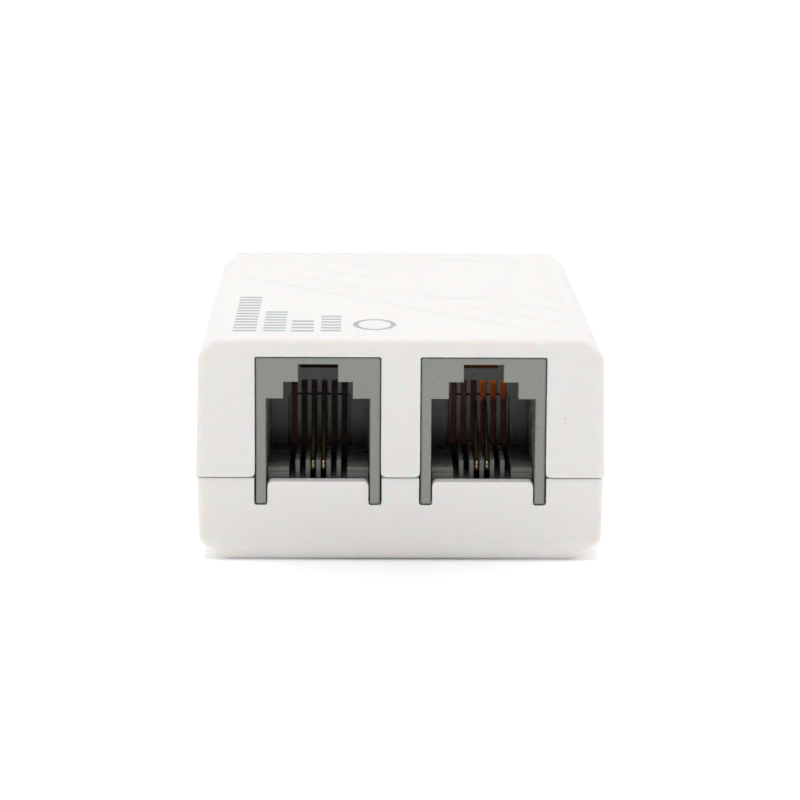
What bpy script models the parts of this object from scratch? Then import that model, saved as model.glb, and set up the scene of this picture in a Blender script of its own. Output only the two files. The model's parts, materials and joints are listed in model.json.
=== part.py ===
"""A telephone line splitter: a two-shell plastic case, two sockets in front and one behind.

Lengths are in metres. The origin is the middle of the underside, +Y points to the back and +Z up.
A socket is modelled once, in its own frame: the origin is at the middle of its mouth, level with its
lowest edge, and +Y points into the socket.
"""

import math

import bmesh
import bpy
from mathutils import Matrix

MM = 0.001

# Case
CASE_HALF_WIDTH = 20.1 * MM
CASE_HALF_LENGTH = 30.0 * MM
CASE_HEIGHT = 22.3 * MM
DRAFT = math.tan(math.radians(1.2))
WALL = 1.6 * MM
EDGE_RADIUS = 0.5 * MM
PARTING_Z = 8.6 * MM
SEAM = 0.15 * MM
LOWER_SHELL_INSET = 0.16 * MM
LID_CHAMFER_WIDTH = 1.78 * MM
LID_CHAMFER_HEIGHT = 1.6 * MM
BASE_CHAMFER_HEIGHT = 1.95 * MM
BASE_CHAMFER_WIDTH = 2.57 * MM
BASE_CHAMFER_LENGTH = 1.3 * MM

# Lap joint between the shells
LIP_THICKNESS = 0.76 * MM
LIP_HEIGHT = 0.9 * MM
LIP_GAP = 0.25 * MM

# Snap hooks on the upper shell
HOOK_Y = 13.0 * MM
HOOK_LENGTH = 5.0 * MM
HOOK_THICKNESS = 0.9 * MM
HOOK_BARB = 0.7 * MM
HOOK_TIP_Z = 4.7 * MM
HOOK_CATCH_Z = 6.2 * MM

# Circuit board
BOARD_HALF_WIDTH = 16.6 * MM
BOARD_HALF_LENGTH = 28.0 * MM
BOARD_THICKNESS = 1.6 * MM
BOARD_TOP_Z = 5.6 * MM
BOARD_POSTS = ((0.0, -22.0 * MM), (-12.5 * MM, 22.0 * MM), (12.5 * MM, 22.0 * MM))
POST_RADIUS = 2.2 * MM
POST_PIN_RADIUS = 0.9 * MM
LID_POST_RADIUS = 1.4 * MM
CLEARANCE = 0.3 * MM

# Sockets
JACK_BASE_Z = 5.9 * MM
JACK_SET_BACK = 0.3 * MM
JACK_CENTRE_X = 8.09 * MM
JACK_HALF_WIDTH = 6.1 * MM
JACK_HEIGHT = 14.6 * MM
JACK_DEPTH = 14.3 * MM
JACK_GAP = 0.15 * MM
MOUTH_HALF_WIDTH = 5.1 * MM
CAVITY_REAR_HALF_WIDTH = 4.85 * MM
CAVITY_DEPTH = 12.5 * MM
CAVITY_TOP = 10.55 * MM
KEYWAY_HALF_WIDTH = 3.4 * MM
KEYWAY_TOP = 12.2 * MM
LATCH_HALF_WIDTH = 1.95 * MM
LATCH_TOP = 13.95 * MM
POCKET_HALF_WIDTH = 4.4 * MM
POCKET_TOP = 13.2 * MM
POCKET_START = 2.5 * MM
REAR_WINDOW_BASE = 11.32 * MM
REAR_WALL_BASE = 3.4 * MM
COMB_TOP = 10.1 * MM
COMB_SLOT_WIDTH = 0.62 * MM
COMB_PANEL_HALF_WIDTH = 3.2 * MM
COMB_PANEL_TOP = 8.75 * MM
COMB_PANEL_DEPTH = 0.4 * MM
TONGUE_HALF_WIDTH = 4.96 * MM
TONGUE_TOP_Z = 8.17 * MM
LEG_SLOT_BASE_Z = 5.8 * MM

# Contact carrier of a socket
CONTACT_PITCH = 1.02 * MM
CONTACT_PLACES = 6
CARRIER_BASE = 0.3 * MM
CARRIER_FLOOR = 3.3 * MM
CARRIER_FRONT = 2.0 * MM
CARRIER_REAR = 14.0 * MM
CARRIER_SIDE_GAP = 0.15 * MM
LEDGE_FRONT = 1.7 * MM
LEDGE_TOP = 2.8 * MM
RIB_TOP = 3.87 * MM
RIB_FRONT = 2.7 * MM
RIB_REAR = 12.2 * MM
RIB_WIDTH = 0.46 * MM
COMB_FLOOR_HALF_WIDTH = 2.87 * MM
GROOVE_FLOOR = 1.75 * MM
GROOVE_REAR = 12.8 * MM
CHANNEL_HALF_WIDTH = 0.35 * MM
CHANNEL_FLOOR = 2.6 * MM
PEG_RADIUS = 1.2 * MM
PEG_END_Z = -2.2 * MM
PEG_PLACES = ((-3.4 * MM, 7.0 * MM), (3.4 * MM, 7.0 * MM))

# Contact wires: a fixed tail and a sprung beam that meet at the hinge line
WIRE_RADIUS = 0.225 * MM
WIRE_SPLIT = 0.15 * MM
HINGE_Y = 2.8 * MM
HINGE_Z = 3.4 * MM
BEND_RADIUS = 0.3 * MM
BEAM_ANGLE = math.radians(37.0)
BEAM_REACH = 8.1 * MM
TAIL_DROP_Y = 14.4 * MM
DROP_RADIUS = 0.4 * MM
TAIL_END = -2.6 * MM

# Filter parts on the board
LEAD_RADIUS = 0.3 * MM
LEAD_SIDES = 8
LEAD_BEND_RADIUS = 0.6 * MM
LEAD_END_Z = 3.2 * MM
LEAD_HOLE_RADIUS = 0.42 * MM
PART_BASE_Z = BOARD_TOP_Z + CLEARANCE
CAPACITORS = {
    # name: (centre x, centre y, width, thickness, height, lead spacing)
    "film_capacitor_1": (-13.3 * MM, -11.8 * MM, 6.6 * MM, 3.2 * MM, 8.5 * MM, 5.0 * MM),
    "film_capacitor_2": (2.775 * MM, -11.8 * MM, 10.75 * MM, 3.6 * MM, 12.0 * MM, 7.5 * MM),
    "film_capacitor_3": (12.05 * MM, -11.8 * MM, 7.4 * MM, 3.4 * MM, 7.4 * MM, 5.0 * MM),
    "film_capacitor_4": (-9.0 * MM, 10.0 * MM, 9.2 * MM, 3.8 * MM, 9.5 * MM, 7.5 * MM),
}
RESISTORS = {
    # name: (centre x, centre y, turn about Z)
    "resistor_1": (9.0 * MM, -6.2 * MM, 0.0),
    "resistor_2": (0.0, -1.0 * MM, math.pi / 2),
    "resistor_3": (10.6 * MM, 13.2 * MM, 0.0),
}
CAPACITOR_ROUNDING = 0.3  # of the capacitor's thickness
RESISTOR_HALF_LENGTH = 3.2 * MM
RESISTOR_RADIUS = 1.15 * MM
RESISTOR_LEAD_HALF_SPAN = 4.6 * MM
RESISTOR_PROFILE = (
    # share of the radius, share of the half length
    (0.0, 1.0),
    (0.6, 1.0),
    (1.0, 0.85),
    (1.0, 0.6),
    (0.82, 0.45),
)
CHOKES = {"choke_1": (-8.3 * MM, -2.5 * MM), "choke_2": (8.3 * MM, 4.5 * MM)}
CORE_HALF_LENGTH = 6.0 * MM
CORE_HALF_WIDTH = 6.0 * MM
CORE_THICKNESS = 5.0 * MM
CORE_BACK = 1.6 * MM
CORE_OUTER_LEG = 1.5 * MM
CORE_CENTRE_LEG = 2.8 * MM
CORE_AIR_GAP = 0.3 * MM
BOBBIN_HALF_LENGTH = 4.1 * MM
BOBBIN_FLANGE = 0.8 * MM
BOBBIN_HALF_WIDTH = 4.2 * MM
BOBBIN_HEIGHT = 10.0 * MM
BOBBIN_WALL = 0.6 * MM
BOBBIN_PIN_Y = 3.0 * MM
WINDING_INSET = 0.4 * MM
WINDING_ROUNDING = 1.0 * MM
FIT_GAP = 0.12 * MM


def new_collection(name):
    collection = bpy.data.collections.new(name)
    bpy.context.scene.collection.children.link(collection)
    return collection


def clear_scene():
    for old in list(bpy.data.objects):
        bpy.data.objects.remove(old, do_unlink=True)


clear_scene()
PARTS = new_collection("telephone_line_splitter")
CUTTERS = new_collection("cutters")


def material(name, colour, roughness, metallic=0.0):
    made = bpy.data.materials.new(name)
    made.use_nodes = True
    shader = made.node_tree.nodes["Principled BSDF"]
    shader.inputs["Base Color"].default_value = (*colour, 1.0)
    shader.inputs["Roughness"].default_value = roughness
    shader.inputs["Metallic"].default_value = metallic
    return made


WHITE_PLASTIC = material("white_plastic", (0.80, 0.78, 0.74), 0.45)
GREY_PLASTIC = material("grey_plastic", (0.24, 0.25, 0.23), 0.42)
GOLD = material("gold_plate", (0.85, 0.60, 0.22), 0.25, 1.0)
BOARD_LAMINATE = material("board_laminate", (0.36, 0.25, 0.11), 0.6)
CAPACITOR_COAT = material("capacitor_coat", (0.30, 0.06, 0.03), 0.3)
RESISTOR_COAT = material("resistor_coat", (0.55, 0.42, 0.26), 0.5)
FERRITE = material("ferrite", (0.05, 0.05, 0.055), 0.55)
BOBBIN_PLASTIC = material("bobbin_plastic", (0.03, 0.03, 0.03), 0.5)
COPPER = material("enamelled_copper", (0.62, 0.24, 0.09), 0.35, 1.0)


def add_object(name, mesh, collection=CUTTERS):
    made = bpy.data.objects.new(name, mesh)
    collection.objects.link(made)
    return made


def mesh_from(name, sheet):
    bmesh.ops.recalc_face_normals(sheet, faces=sheet.faces)
    mesh = bpy.data.meshes.new(name)
    sheet.to_mesh(mesh)
    sheet.free()
    return mesh


def box(name, low, high):
    size = [b - a for a, b in zip(low, high)]
    centre = [(a + b) / 2 for a, b in zip(low, high)]
    sheet = bmesh.new()
    place = Matrix.Translation(centre) @ Matrix.Diagonal((*size, 1.0))
    bmesh.ops.create_cube(sheet, size=1.0, matrix=place)
    return add_object(name, mesh_from(name, sheet))


def cylinder(name, centre, radius, low, high, sides=12):
    sheet = bmesh.new()
    place = Matrix.Translation((centre[0], centre[1], (low + high) / 2))
    bmesh.ops.create_cone(
        sheet, cap_ends=True, segments=sides, radius1=radius, radius2=radius, depth=high - low, matrix=place
    )
    return add_object(name, mesh_from(name, sheet))


def rectangle(z, half_x, half_y):
    return [(-half_x, -half_y, z), (half_x, -half_y, z), (half_x, half_y, z), (-half_x, half_y, z)]


def loft(name, rings):
    """A closed body through rings of corners, which all have the same number of corners."""
    sheet = bmesh.new()
    rows = [[sheet.verts.new(point) for point in ring] for ring in rings]
    count = len(rows[0])
    sheet.faces.new(rows[0])
    sheet.faces.new(rows[-1])
    for lower, upper in zip(rows, rows[1:]):
        for here in range(count):
            after = (here + 1) % count
            sheet.faces.new((lower[here], lower[after], upper[after], upper[here]))
    return add_object(name, mesh_from(name, sheet))


def to_mesh(source, name):
    """Turns a curve, or an object with modifiers, into a plain welded mesh object."""
    bpy.context.view_layer.update()
    graph = bpy.context.evaluated_depsgraph_get()
    mesh = bpy.data.meshes.new_from_object(source.evaluated_get(graph))
    mesh.name = name
    sheet = bmesh.new()
    sheet.from_mesh(mesh)
    bmesh.ops.remove_doubles(sheet, verts=sheet.verts, dist=0.001 * MM)
    bmesh.ops.recalc_face_normals(sheet, faces=sheet.faces)
    sheet.to_mesh(mesh)
    sheet.free()
    made = add_object(name, mesh)
    made.matrix_world = source.matrix_world
    bpy.data.objects.remove(source, do_unlink=True)
    return made


def prism(name, outline, low, high, axis="Z"):
    """A flat outline, drawn in XY or (for axis Y) in XZ, extruded along its axis from low to high."""
    curve = bpy.data.curves.new(name, "CURVE")
    curve.dimensions = "2D"
    curve.fill_mode = "BOTH"
    curve.extrude = (high - low) / 2
    spline = curve.splines.new("POLY")
    spline.points.add(len(outline) - 1)
    spline.use_cyclic_u = True
    for point, (across, along) in zip(spline.points, outline):
        point.co = (across, along, 0.0, 1.0)
    source = bpy.data.objects.new(name + "_outline", curve)
    CUTTERS.objects.link(source)
    made = to_mesh(source, name)
    made.data.transform(Matrix.Translation((0.0, 0.0, (low + high) / 2)))
    if axis == "Y":
        made.data.transform(Matrix(((1, 0, 0, 0), (0, 0, 1, 0), (0, 1, 0, 0), (0, 0, 0, 1))))
        made.data.flip_normals()
    return made


def wire(name, points, radius, resolution=1):
    """A round wire along points, with filled ends."""
    curve = bpy.data.curves.new(name, "CURVE")
    curve.dimensions = "3D"
    curve.bevel_depth = radius
    curve.bevel_resolution = resolution
    curve.use_fill_caps = True
    spline = curve.splines.new("POLY")
    spline.points.add(len(points) - 1)
    for point, place in zip(spline.points, points):
        point.co = (*place, 1.0)
    source = bpy.data.objects.new(name + "_path", curve)
    CUTTERS.objects.link(source)
    return to_mesh(source, name)


def turned(name, profile, steps=16):
    """A solid turned about Z. The profile runs from top to bottom as (radius, z)."""
    mesh = bpy.data.meshes.new(name)
    points = [(radius, 0.0, z) for radius, z in profile]
    mesh.from_pydata(points, [(i, i + 1) for i in range(len(points) - 1)], [])
    made = add_object(name, mesh)
    screw = made.modifiers.new("Screw", "SCREW")
    screw.axis = "Z"
    screw.angle = 2 * math.pi
    screw.steps = steps
    screw.render_steps = steps
    screw.use_merge_vertices = True
    screw.merge_threshold = 0.00001
    return to_mesh(made, name)


def rounded(obj, width, segments=3):
    bevel = obj.modifiers.new("Bevel", "BEVEL")
    bevel.width = width
    bevel.segments = segments
    bevel.limit_method = "ANGLE"
    bevel.angle_limit = math.radians(30.0)
    return obj


def group(name, tools):
    """Joins separate bodies into one object, so that one Boolean takes them all."""
    sheet = bmesh.new()
    for tool in tools:
        part = tool.data.copy()
        part.transform(tool.matrix_world)
        sheet.from_mesh(part)
        bpy.data.objects.remove(tool, do_unlink=True)
    return add_object(name, mesh_from(name, sheet))


def combine(target, tool, operation):
    boolean = target.modifiers.new(f"{operation.title()} {tool.name}", "BOOLEAN")
    boolean.operation = operation
    boolean.object = tool
    tool.hide_render = True
    tool.display_type = "WIRE"
    return target


def cut(target, *tools):
    for tool in tools:
        combine(target, tool, "DIFFERENCE")
    return target


def join(target, *tools):
    for tool in tools:
        combine(target, tool, "UNION")
    return target


def finish(obj, name, look):
    """Makes an object a part: its own name and material, in the collection of parts."""
    obj.name = name
    obj.data.name = name
    for collection in list(obj.users_collection):
        collection.objects.unlink(obj)
    PARTS.objects.link(obj)
    obj.data.materials.clear()
    obj.data.materials.append(look)
    obj.data.shade_smooth()
    obj.data.set_sharp_from_angle(angle=math.radians(35.0))
    return obj


def mirrored(outline):
    """Completes the right half of an outline, bottom to top, with its mirror image."""
    return outline + [(-across, along) for across, along in reversed(outline)]


# ---------------------------------------------------------------- case

JACK_PLACES = {
    # name: (location of the middle of the mouth, turn about Z)
    "phone": ((-JACK_CENTRE_X, -CASE_HALF_LENGTH + JACK_SET_BACK, JACK_BASE_Z), 0.0),
    "modem": ((JACK_CENTRE_X, -CASE_HALF_LENGTH + JACK_SET_BACK, JACK_BASE_Z), 0.0),
    "line": ((0.0, CASE_HALF_LENGTH - JACK_SET_BACK, JACK_BASE_Z), math.pi),
}
OPENING_HALF_WIDTH = JACK_HALF_WIDTH + JACK_GAP
OPENING_TOP_Z = JACK_BASE_Z + JACK_HEIGHT + JACK_GAP
WALL_REACH = 2 * WALL
INSIDE_HALF_WIDTH = CASE_HALF_WIDTH - WALL
INSIDE_HALF_LENGTH = CASE_HALF_LENGTH - WALL
CEILING_Z = CASE_HEIGHT - WALL
LIP_HALF_WIDTH = CASE_HALF_WIDTH - LOWER_SHELL_INSET - WALL + LIP_THICKNESS
LIP_HALF_LENGTH = CASE_HALF_LENGTH - LOWER_SHELL_INSET - WALL + LIP_THICKNESS


def drafted(z, half):
    """Half a side of the case at height z, where half is the same at the parting line."""
    return half - abs(z - PARTING_Z) * DRAFT


def jack_mouth_cutter(name, outline):
    """Cuts one outline, drawn about a socket's middle, through the wall in front of each socket."""
    cutters = []
    for jack, (place, turn) in JACK_PLACES.items():
        side = 1 if turn else -1
        ends = sorted((side * (CASE_HALF_LENGTH + WALL), side * (CASE_HALF_LENGTH - WALL_REACH)))
        shifted = [(place[0] + across, along) for across, along in outline]
        cutters.append(prism(f"{name}_{jack}", shifted, ends[0], ends[1], axis="Y"))
    return group(name, cutters)


def upper_shell():
    shoulder_z = CASE_HEIGHT - LID_CHAMFER_HEIGHT
    skirt_z = PARTING_Z - WALL
    shoulder = drafted(shoulder_z, CASE_HALF_WIDTH)
    shell = loft("upper_shell", [
        rectangle(skirt_z, drafted(skirt_z, CASE_HALF_WIDTH), drafted(skirt_z, CASE_HALF_LENGTH)),
        rectangle(PARTING_Z, CASE_HALF_WIDTH, CASE_HALF_LENGTH),
        rectangle(shoulder_z, shoulder, drafted(shoulder_z, CASE_HALF_LENGTH)),
        rectangle(CASE_HEIGHT, shoulder - LID_CHAMFER_WIDTH, drafted(CASE_HEIGHT, CASE_HALF_LENGTH)),
    ])
    rounded(shell, EDGE_RADIUS)
    far = 2 * CASE_HALF_LENGTH
    below = box("below_parting", (-far, -far, -far), (far, far, PARTING_Z + SEAM / 2))
    inner_shoulder = CEILING_Z - LID_CHAMFER_HEIGHT / 2
    cavity = loft("upper_cavity", [
        rectangle(PARTING_Z - WALL, INSIDE_HALF_WIDTH + DRAFT * WALL, INSIDE_HALF_LENGTH + DRAFT * WALL),
        rectangle(inner_shoulder, drafted(inner_shoulder, INSIDE_HALF_WIDTH),
                  drafted(inner_shoulder, INSIDE_HALF_LENGTH)),
        rectangle(CEILING_Z, INSIDE_HALF_WIDTH - LID_CHAMFER_HEIGHT, drafted(CEILING_Z, INSIDE_HALF_LENGTH)),
    ])
    rabbet_top = PARTING_Z + LIP_HEIGHT + LIP_GAP
    rabbet = loft("rabbet", [
        rectangle(PARTING_Z - WALL, LIP_HALF_WIDTH + LIP_GAP, LIP_HALF_LENGTH + LIP_GAP),
        rectangle(rabbet_top, LIP_HALF_WIDTH + LIP_GAP, LIP_HALF_LENGTH + LIP_GAP),
    ])
    mouth = [
        (-OPENING_HALF_WIDTH, PARTING_Z - WALL),
        (OPENING_HALF_WIDTH, PARTING_Z - WALL),
        (OPENING_HALF_WIDTH, OPENING_TOP_Z),
        (-OPENING_HALF_WIDTH, OPENING_TOP_Z),
    ]
    cut(shell, below, cavity, rabbet, jack_mouth_cutter("upper_mouths", mouth))
    join(shell, snap_hooks(rabbet_top), lid_posts())
    return finish(shell, "upper_shell", WHITE_PLASTIC)


def snap_hooks(root_z):
    """Four hooks that hang from the inside of the upper shell's long sides."""
    inner = LIP_HALF_WIDTH - LIP_THICKNESS - CLEARANCE - HOOK_THICKNESS
    outer = inner + HOOK_THICKNESS
    root = INSIDE_HALF_WIDTH + WALL / 2
    root_base = root_z + CLEARANCE
    profile = [
        (inner, HOOK_TIP_Z),
        (outer, HOOK_TIP_Z),
        (outer + HOOK_BARB, HOOK_CATCH_Z - CLEARANCE),
        (outer + HOOK_BARB, HOOK_CATCH_Z),
        (outer, HOOK_CATCH_Z),
        (outer, root_base),
        (root, root_base),
        (root, root_base + WALL),
        (inner, root_base + WALL),
    ]
    hooks = []
    for side in (-1, 1):
        for end in (-1, 1):
            outline = [(side * across, along) for across, along in profile]
            middle = end * HOOK_Y
            name = f"hook_{side}_{end}"
            hooks.append(prism(name, outline, middle - HOOK_LENGTH / 2, middle + HOOK_LENGTH / 2, axis="Y"))
    return group("snap_hooks", hooks)


def hook_pockets():
    """The recesses in the lower shell's inner sides that the hooks' barbs snap into."""
    inner = LIP_HALF_WIDTH - LIP_THICKNESS - WALL
    outer = LIP_HALF_WIDTH - LIP_THICKNESS - CLEARANCE + HOOK_BARB + CLEARANCE
    half = HOOK_LENGTH / 2 + CLEARANCE
    pockets = []
    for side in (-1, 1):
        low_x, high_x = sorted((side * inner, side * outer))
        for end in (-1, 1):
            low = (low_x, end * HOOK_Y - half, HOOK_TIP_Z - CLEARANCE)
            high = (high_x, end * HOOK_Y + half, HOOK_CATCH_Z + CLEARANCE)
            pockets.append(box(f"pocket_{side}_{end}", low, high))
    return group("hook_pockets", pockets)


def lid_posts():
    """Posts under the lid that hold the board down on the lower shell's posts."""
    base = BOARD_TOP_Z + CLEARANCE
    top = CEILING_Z + WALL / 2
    posts = [
        cylinder(f"lid_post_{i}", place, LID_POST_RADIUS, base, top)
        for i, place in enumerate(BOARD_POSTS)
    ]
    return group("lid_posts", posts)


def board_posts():
    """Stepped posts on the lower shell's floor: a shoulder under the board and a pin into it."""
    shoulder = BOARD_TOP_Z - BOARD_THICKNESS - CLEARANCE
    root = WALL / 2
    profile = [
        (0.0, BOARD_TOP_Z),
        (POST_PIN_RADIUS, BOARD_TOP_Z),
        (POST_PIN_RADIUS, shoulder),
        (POST_RADIUS, shoulder),
        (POST_RADIUS, root),
        (0.0, root),
    ]
    posts = []
    for i, (x, y) in enumerate(BOARD_POSTS):
        post = turned(f"board_post_{i}", profile)
        post.data.transform(Matrix.Translation((x, y, 0.0)))
        posts.append(post)
    return group("board_posts", posts)


def lower_shell():
    half_width = CASE_HALF_WIDTH - LOWER_SHELL_INSET
    half_length = CASE_HALF_LENGTH - LOWER_SHELL_INSET
    chamfer_width = drafted(BASE_CHAMFER_HEIGHT, half_width)
    chamfer_length = drafted(BASE_CHAMFER_HEIGHT, half_length)
    above_z = PARTING_Z + WALL
    shell = loft("lower_shell", [
        rectangle(0.0, chamfer_width - BASE_CHAMFER_WIDTH, chamfer_length - BASE_CHAMFER_LENGTH),
        rectangle(BASE_CHAMFER_HEIGHT, chamfer_width, chamfer_length),
        rectangle(PARTING_Z, half_width, half_length),
        rectangle(above_z, drafted(above_z, half_width), drafted(above_z, half_length)),
    ])
    rounded(shell, EDGE_RADIUS)
    far = 2 * CASE_HALF_LENGTH
    above = box("above_parting", (-far, -far, PARTING_Z - SEAM / 2), (far, far, far))
    lip_low = (-LIP_HALF_WIDTH, -LIP_HALF_LENGTH, PARTING_Z - WALL)
    lip = box("lip", lip_low, (LIP_HALF_WIDTH, LIP_HALF_LENGTH, PARTING_Z + LIP_HEIGHT))
    inside_width = LIP_HALF_WIDTH - LIP_THICKNESS
    inside_length = LIP_HALF_LENGTH - LIP_THICKNESS
    floor_rise = BASE_CHAMFER_HEIGHT / 2
    cavity = loft("lower_cavity", [
        rectangle(WALL, inside_width - BASE_CHAMFER_WIDTH / 2, inside_length - BASE_CHAMFER_LENGTH / 2),
        rectangle(WALL + floor_rise, inside_width, inside_length),
        rectangle(PARTING_Z + 2 * WALL, inside_width, inside_length),
    ])
    cut(shell, above)
    join(shell, lip)
    above_lip = PARTING_Z + 2 * WALL
    mouth = mirrored([
        (TONGUE_HALF_WIDTH, TONGUE_TOP_Z),
        (TONGUE_HALF_WIDTH, LEG_SLOT_BASE_Z),
        (OPENING_HALF_WIDTH, LEG_SLOT_BASE_Z),
        (OPENING_HALF_WIDTH, above_lip),
    ])
    cut(shell, cavity, jack_mouth_cutter("lower_mouths", mouth), hook_pockets())
    join(shell, board_posts())
    return finish(shell, "lower_shell", WHITE_PLASTIC)


# ---------------------------------------------------------------- sockets


def contact_x(place):
    """The middle of a contact's groove. Places count from 0 at the left."""
    return (place - (CONTACT_PLACES - 1) / 2) * CONTACT_PITCH


def narrowing(y):
    """Half the cavity's width at depth y."""
    return MOUTH_HALF_WIDTH - (MOUTH_HALF_WIDTH - CAVITY_REAR_HALF_WIDTH) * y / CAVITY_DEPTH


def narrowing_block(name, start, end, low, high, gap=0.0):
    """A block that fills the cavity's tapering width, less a gap, between two depths."""
    rings = []
    for y in (start, end):
        half = narrowing(y) - gap
        rings.append([(-half, y, low), (half, y, low), (half, y, high), (-half, y, high)])
    return loft(name, rings)


def jack_housing():
    body = box("housing", (-JACK_HALF_WIDTH, 0.0, 0.0), (JACK_HALF_WIDTH, JACK_DEPTH, JACK_HEIGHT))
    outside = 2 * MM
    behind = JACK_DEPTH + outside
    overlap_z = CAVITY_TOP - outside
    cavity = narrowing_block("cavity", -outside, CAVITY_DEPTH, -outside, CAVITY_TOP)
    base = box("open_base", (-CAVITY_REAR_HALF_WIDTH, CAVITY_DEPTH - outside, -outside),
               (CAVITY_REAR_HALF_WIDTH, behind, REAR_WALL_BASE))
    keyway = box("keyway", (-KEYWAY_HALF_WIDTH, -outside, overlap_z),
                 (KEYWAY_HALF_WIDTH, POCKET_START + outside, KEYWAY_TOP))
    latch = box("latch_way", (-LATCH_HALF_WIDTH, -outside, overlap_z),
                (LATCH_HALF_WIDTH, CAVITY_DEPTH, LATCH_TOP))
    pocket = box("latch_pocket", (-POCKET_HALF_WIDTH, POCKET_START, overlap_z),
                 (POCKET_HALF_WIDTH, CAVITY_DEPTH, POCKET_TOP))
    window = box("rear_window", (-LATCH_HALF_WIDTH, CAVITY_DEPTH - outside, REAR_WINDOW_BASE),
                 (LATCH_HALF_WIDTH, behind, LATCH_TOP))
    panel = box("comb_panel", (-COMB_PANEL_HALF_WIDTH, CAVITY_DEPTH - outside, 0.0),
                (COMB_PANEL_HALF_WIDTH, CAVITY_DEPTH + COMB_PANEL_DEPTH, COMB_PANEL_TOP))
    half_slot = COMB_SLOT_WIDTH / 2
    slots = []
    for place in range(CONTACT_PLACES):
        low = (contact_x(place) - half_slot, CAVITY_DEPTH - outside, 0.0)
        slots.append(box(f"slot_{place}", low, (contact_x(place) + half_slot, behind, COMB_TOP)))
    cut(body, cavity, base, keyway, latch, pocket, window, panel, group("comb_slots", slots))
    return to_mesh(body, "housing")


def contact_carrier():
    body = narrowing_block("carrier", LEDGE_FRONT, CARRIER_REAR, CARRIER_BASE, CARRIER_FLOOR,
                           CARRIER_SIDE_GAP)
    above_ledge = box("above_ledge", (-JACK_HALF_WIDTH, 0.0, LEDGE_TOP),
                      (JACK_HALF_WIDTH, CARRIER_FRONT, JACK_HEIGHT))
    trough = box("trough", (-COMB_FLOOR_HALF_WIDTH, 0.0, GROOVE_FLOOR),
                 (COMB_FLOOR_HALF_WIDTH, GROOVE_REAR, JACK_HEIGHT))
    channels = []
    for place in WIRED_PLACES:
        low = (contact_x(place) - CHANNEL_HALF_WIDTH, GROOVE_REAR - MM, CHANNEL_FLOOR)
        high = (contact_x(place) + CHANNEL_HALF_WIDTH, JACK_DEPTH + MM, JACK_HEIGHT)
        channels.append(box(f"channel_{place}", low, high))
    ribs = []
    for place in range(CONTACT_PLACES - 1):
        middle_x = contact_x(place) + CONTACT_PITCH / 2
        low = (middle_x - RIB_WIDTH / 2, RIB_FRONT, GROOVE_FLOOR - WALL / 2)
        ribs.append(box(f"rib_{place}", low, (middle_x + RIB_WIDTH / 2, RIB_REAR, RIB_TOP)))
    pegs = [
        cylinder(f"peg_{i}", place, PEG_RADIUS, PEG_END_Z, CARRIER_FLOOR / 2)
        for i, place in enumerate(PEG_PLACES)
    ]
    cut(body, above_ledge, trough, group("wire_channels", channels))
    join(body, group("ribs", ribs), group("pegs", pegs))
    return to_mesh(body, "carrier")


def arc(centre, radius, start, end, steps=4):
    """Points on an arc in the YZ plane. Angles are in radians from +Y towards +Z."""
    points = []
    for step in range(steps + 1):
        angle = start + (end - start) * step / steps
        points.append((0.0, centre[0] + radius * math.cos(angle), centre[1] + radius * math.sin(angle)))
    return points


def contact_beam():
    """The sprung half of a contact, drawn from its hinge line: round the bend, then up and back."""
    lift = math.asin(WIRE_SPLIT / BEND_RADIUS)
    end = math.pi / 2 + BEAM_ANGLE
    points = arc((BEND_RADIUS, 0.0), BEND_RADIUS, math.pi - lift, end)
    last = points[-1]
    reach = BEAM_REACH
    tip = (0.0, last[1] + reach * math.cos(BEAM_ANGLE), last[2] + reach * math.sin(BEAM_ANGLE))
    return wire("beam", points + [tip], WIRE_RADIUS)


def contact_tail():
    """The fixed half of a contact: back under the sprung half and down into the board."""
    split_z = HINGE_Z - WIRE_SPLIT
    run_z = split_z - BEND_RADIUS
    points = arc((HINGE_Y + BEND_RADIUS, split_z), BEND_RADIUS, math.pi, 1.5 * math.pi)
    drop_centre = (TAIL_DROP_Y - DROP_RADIUS, run_z - DROP_RADIUS)
    points += reversed(arc(drop_centre, DROP_RADIUS, 0.0, 0.5 * math.pi))
    points.append((0.0, TAIL_DROP_Y, TAIL_END))
    return wire("tail", points, WIRE_RADIUS)


WIRED_PLACES = (2, 3)


def sockets():
    shapes = {
        "housing": (jack_housing(), GREY_PLASTIC),
        "contact_carrier": (contact_carrier(), GREY_PLASTIC),
    }
    beam = contact_beam()
    tail = contact_tail()
    for jack, (place, turn) in JACK_PLACES.items():
        holder = bpy.data.objects.new(f"{jack}_jack", None)
        PARTS.objects.link(holder)
        holder.location = place
        holder.rotation_euler = (0.0, 0.0, turn)
        pieces = [(f"{jack}_jack_{part}", shape, look, (0, 0, 0)) for part, (shape, look) in shapes.items()]
        for number, wired in enumerate(WIRED_PLACES, start=1):
            x = contact_x(wired)
            pieces.append((f"{jack}_contact_{number}_beam", beam, GOLD, (x, HINGE_Y, HINGE_Z)))
            pieces.append((f"{jack}_contact_{number}_tail", tail, GOLD, (x, 0.0, 0.0)))
        for name, shape, look, offset in pieces:
            piece = finish(add_object(name, shape.data.copy()), name, look)
            piece.parent = holder
            piece.location = offset
    for shape in (shapes["housing"][0], shapes["contact_carrier"][0], beam, tail):
        bpy.data.objects.remove(shape, do_unlink=True)


# ---------------------------------------------------------------- circuit board and filter parts


def turned_about_z(x, y, turn):
    return x * math.cos(turn) - y * math.sin(turn), x * math.sin(turn) + y * math.cos(turn)


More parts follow.
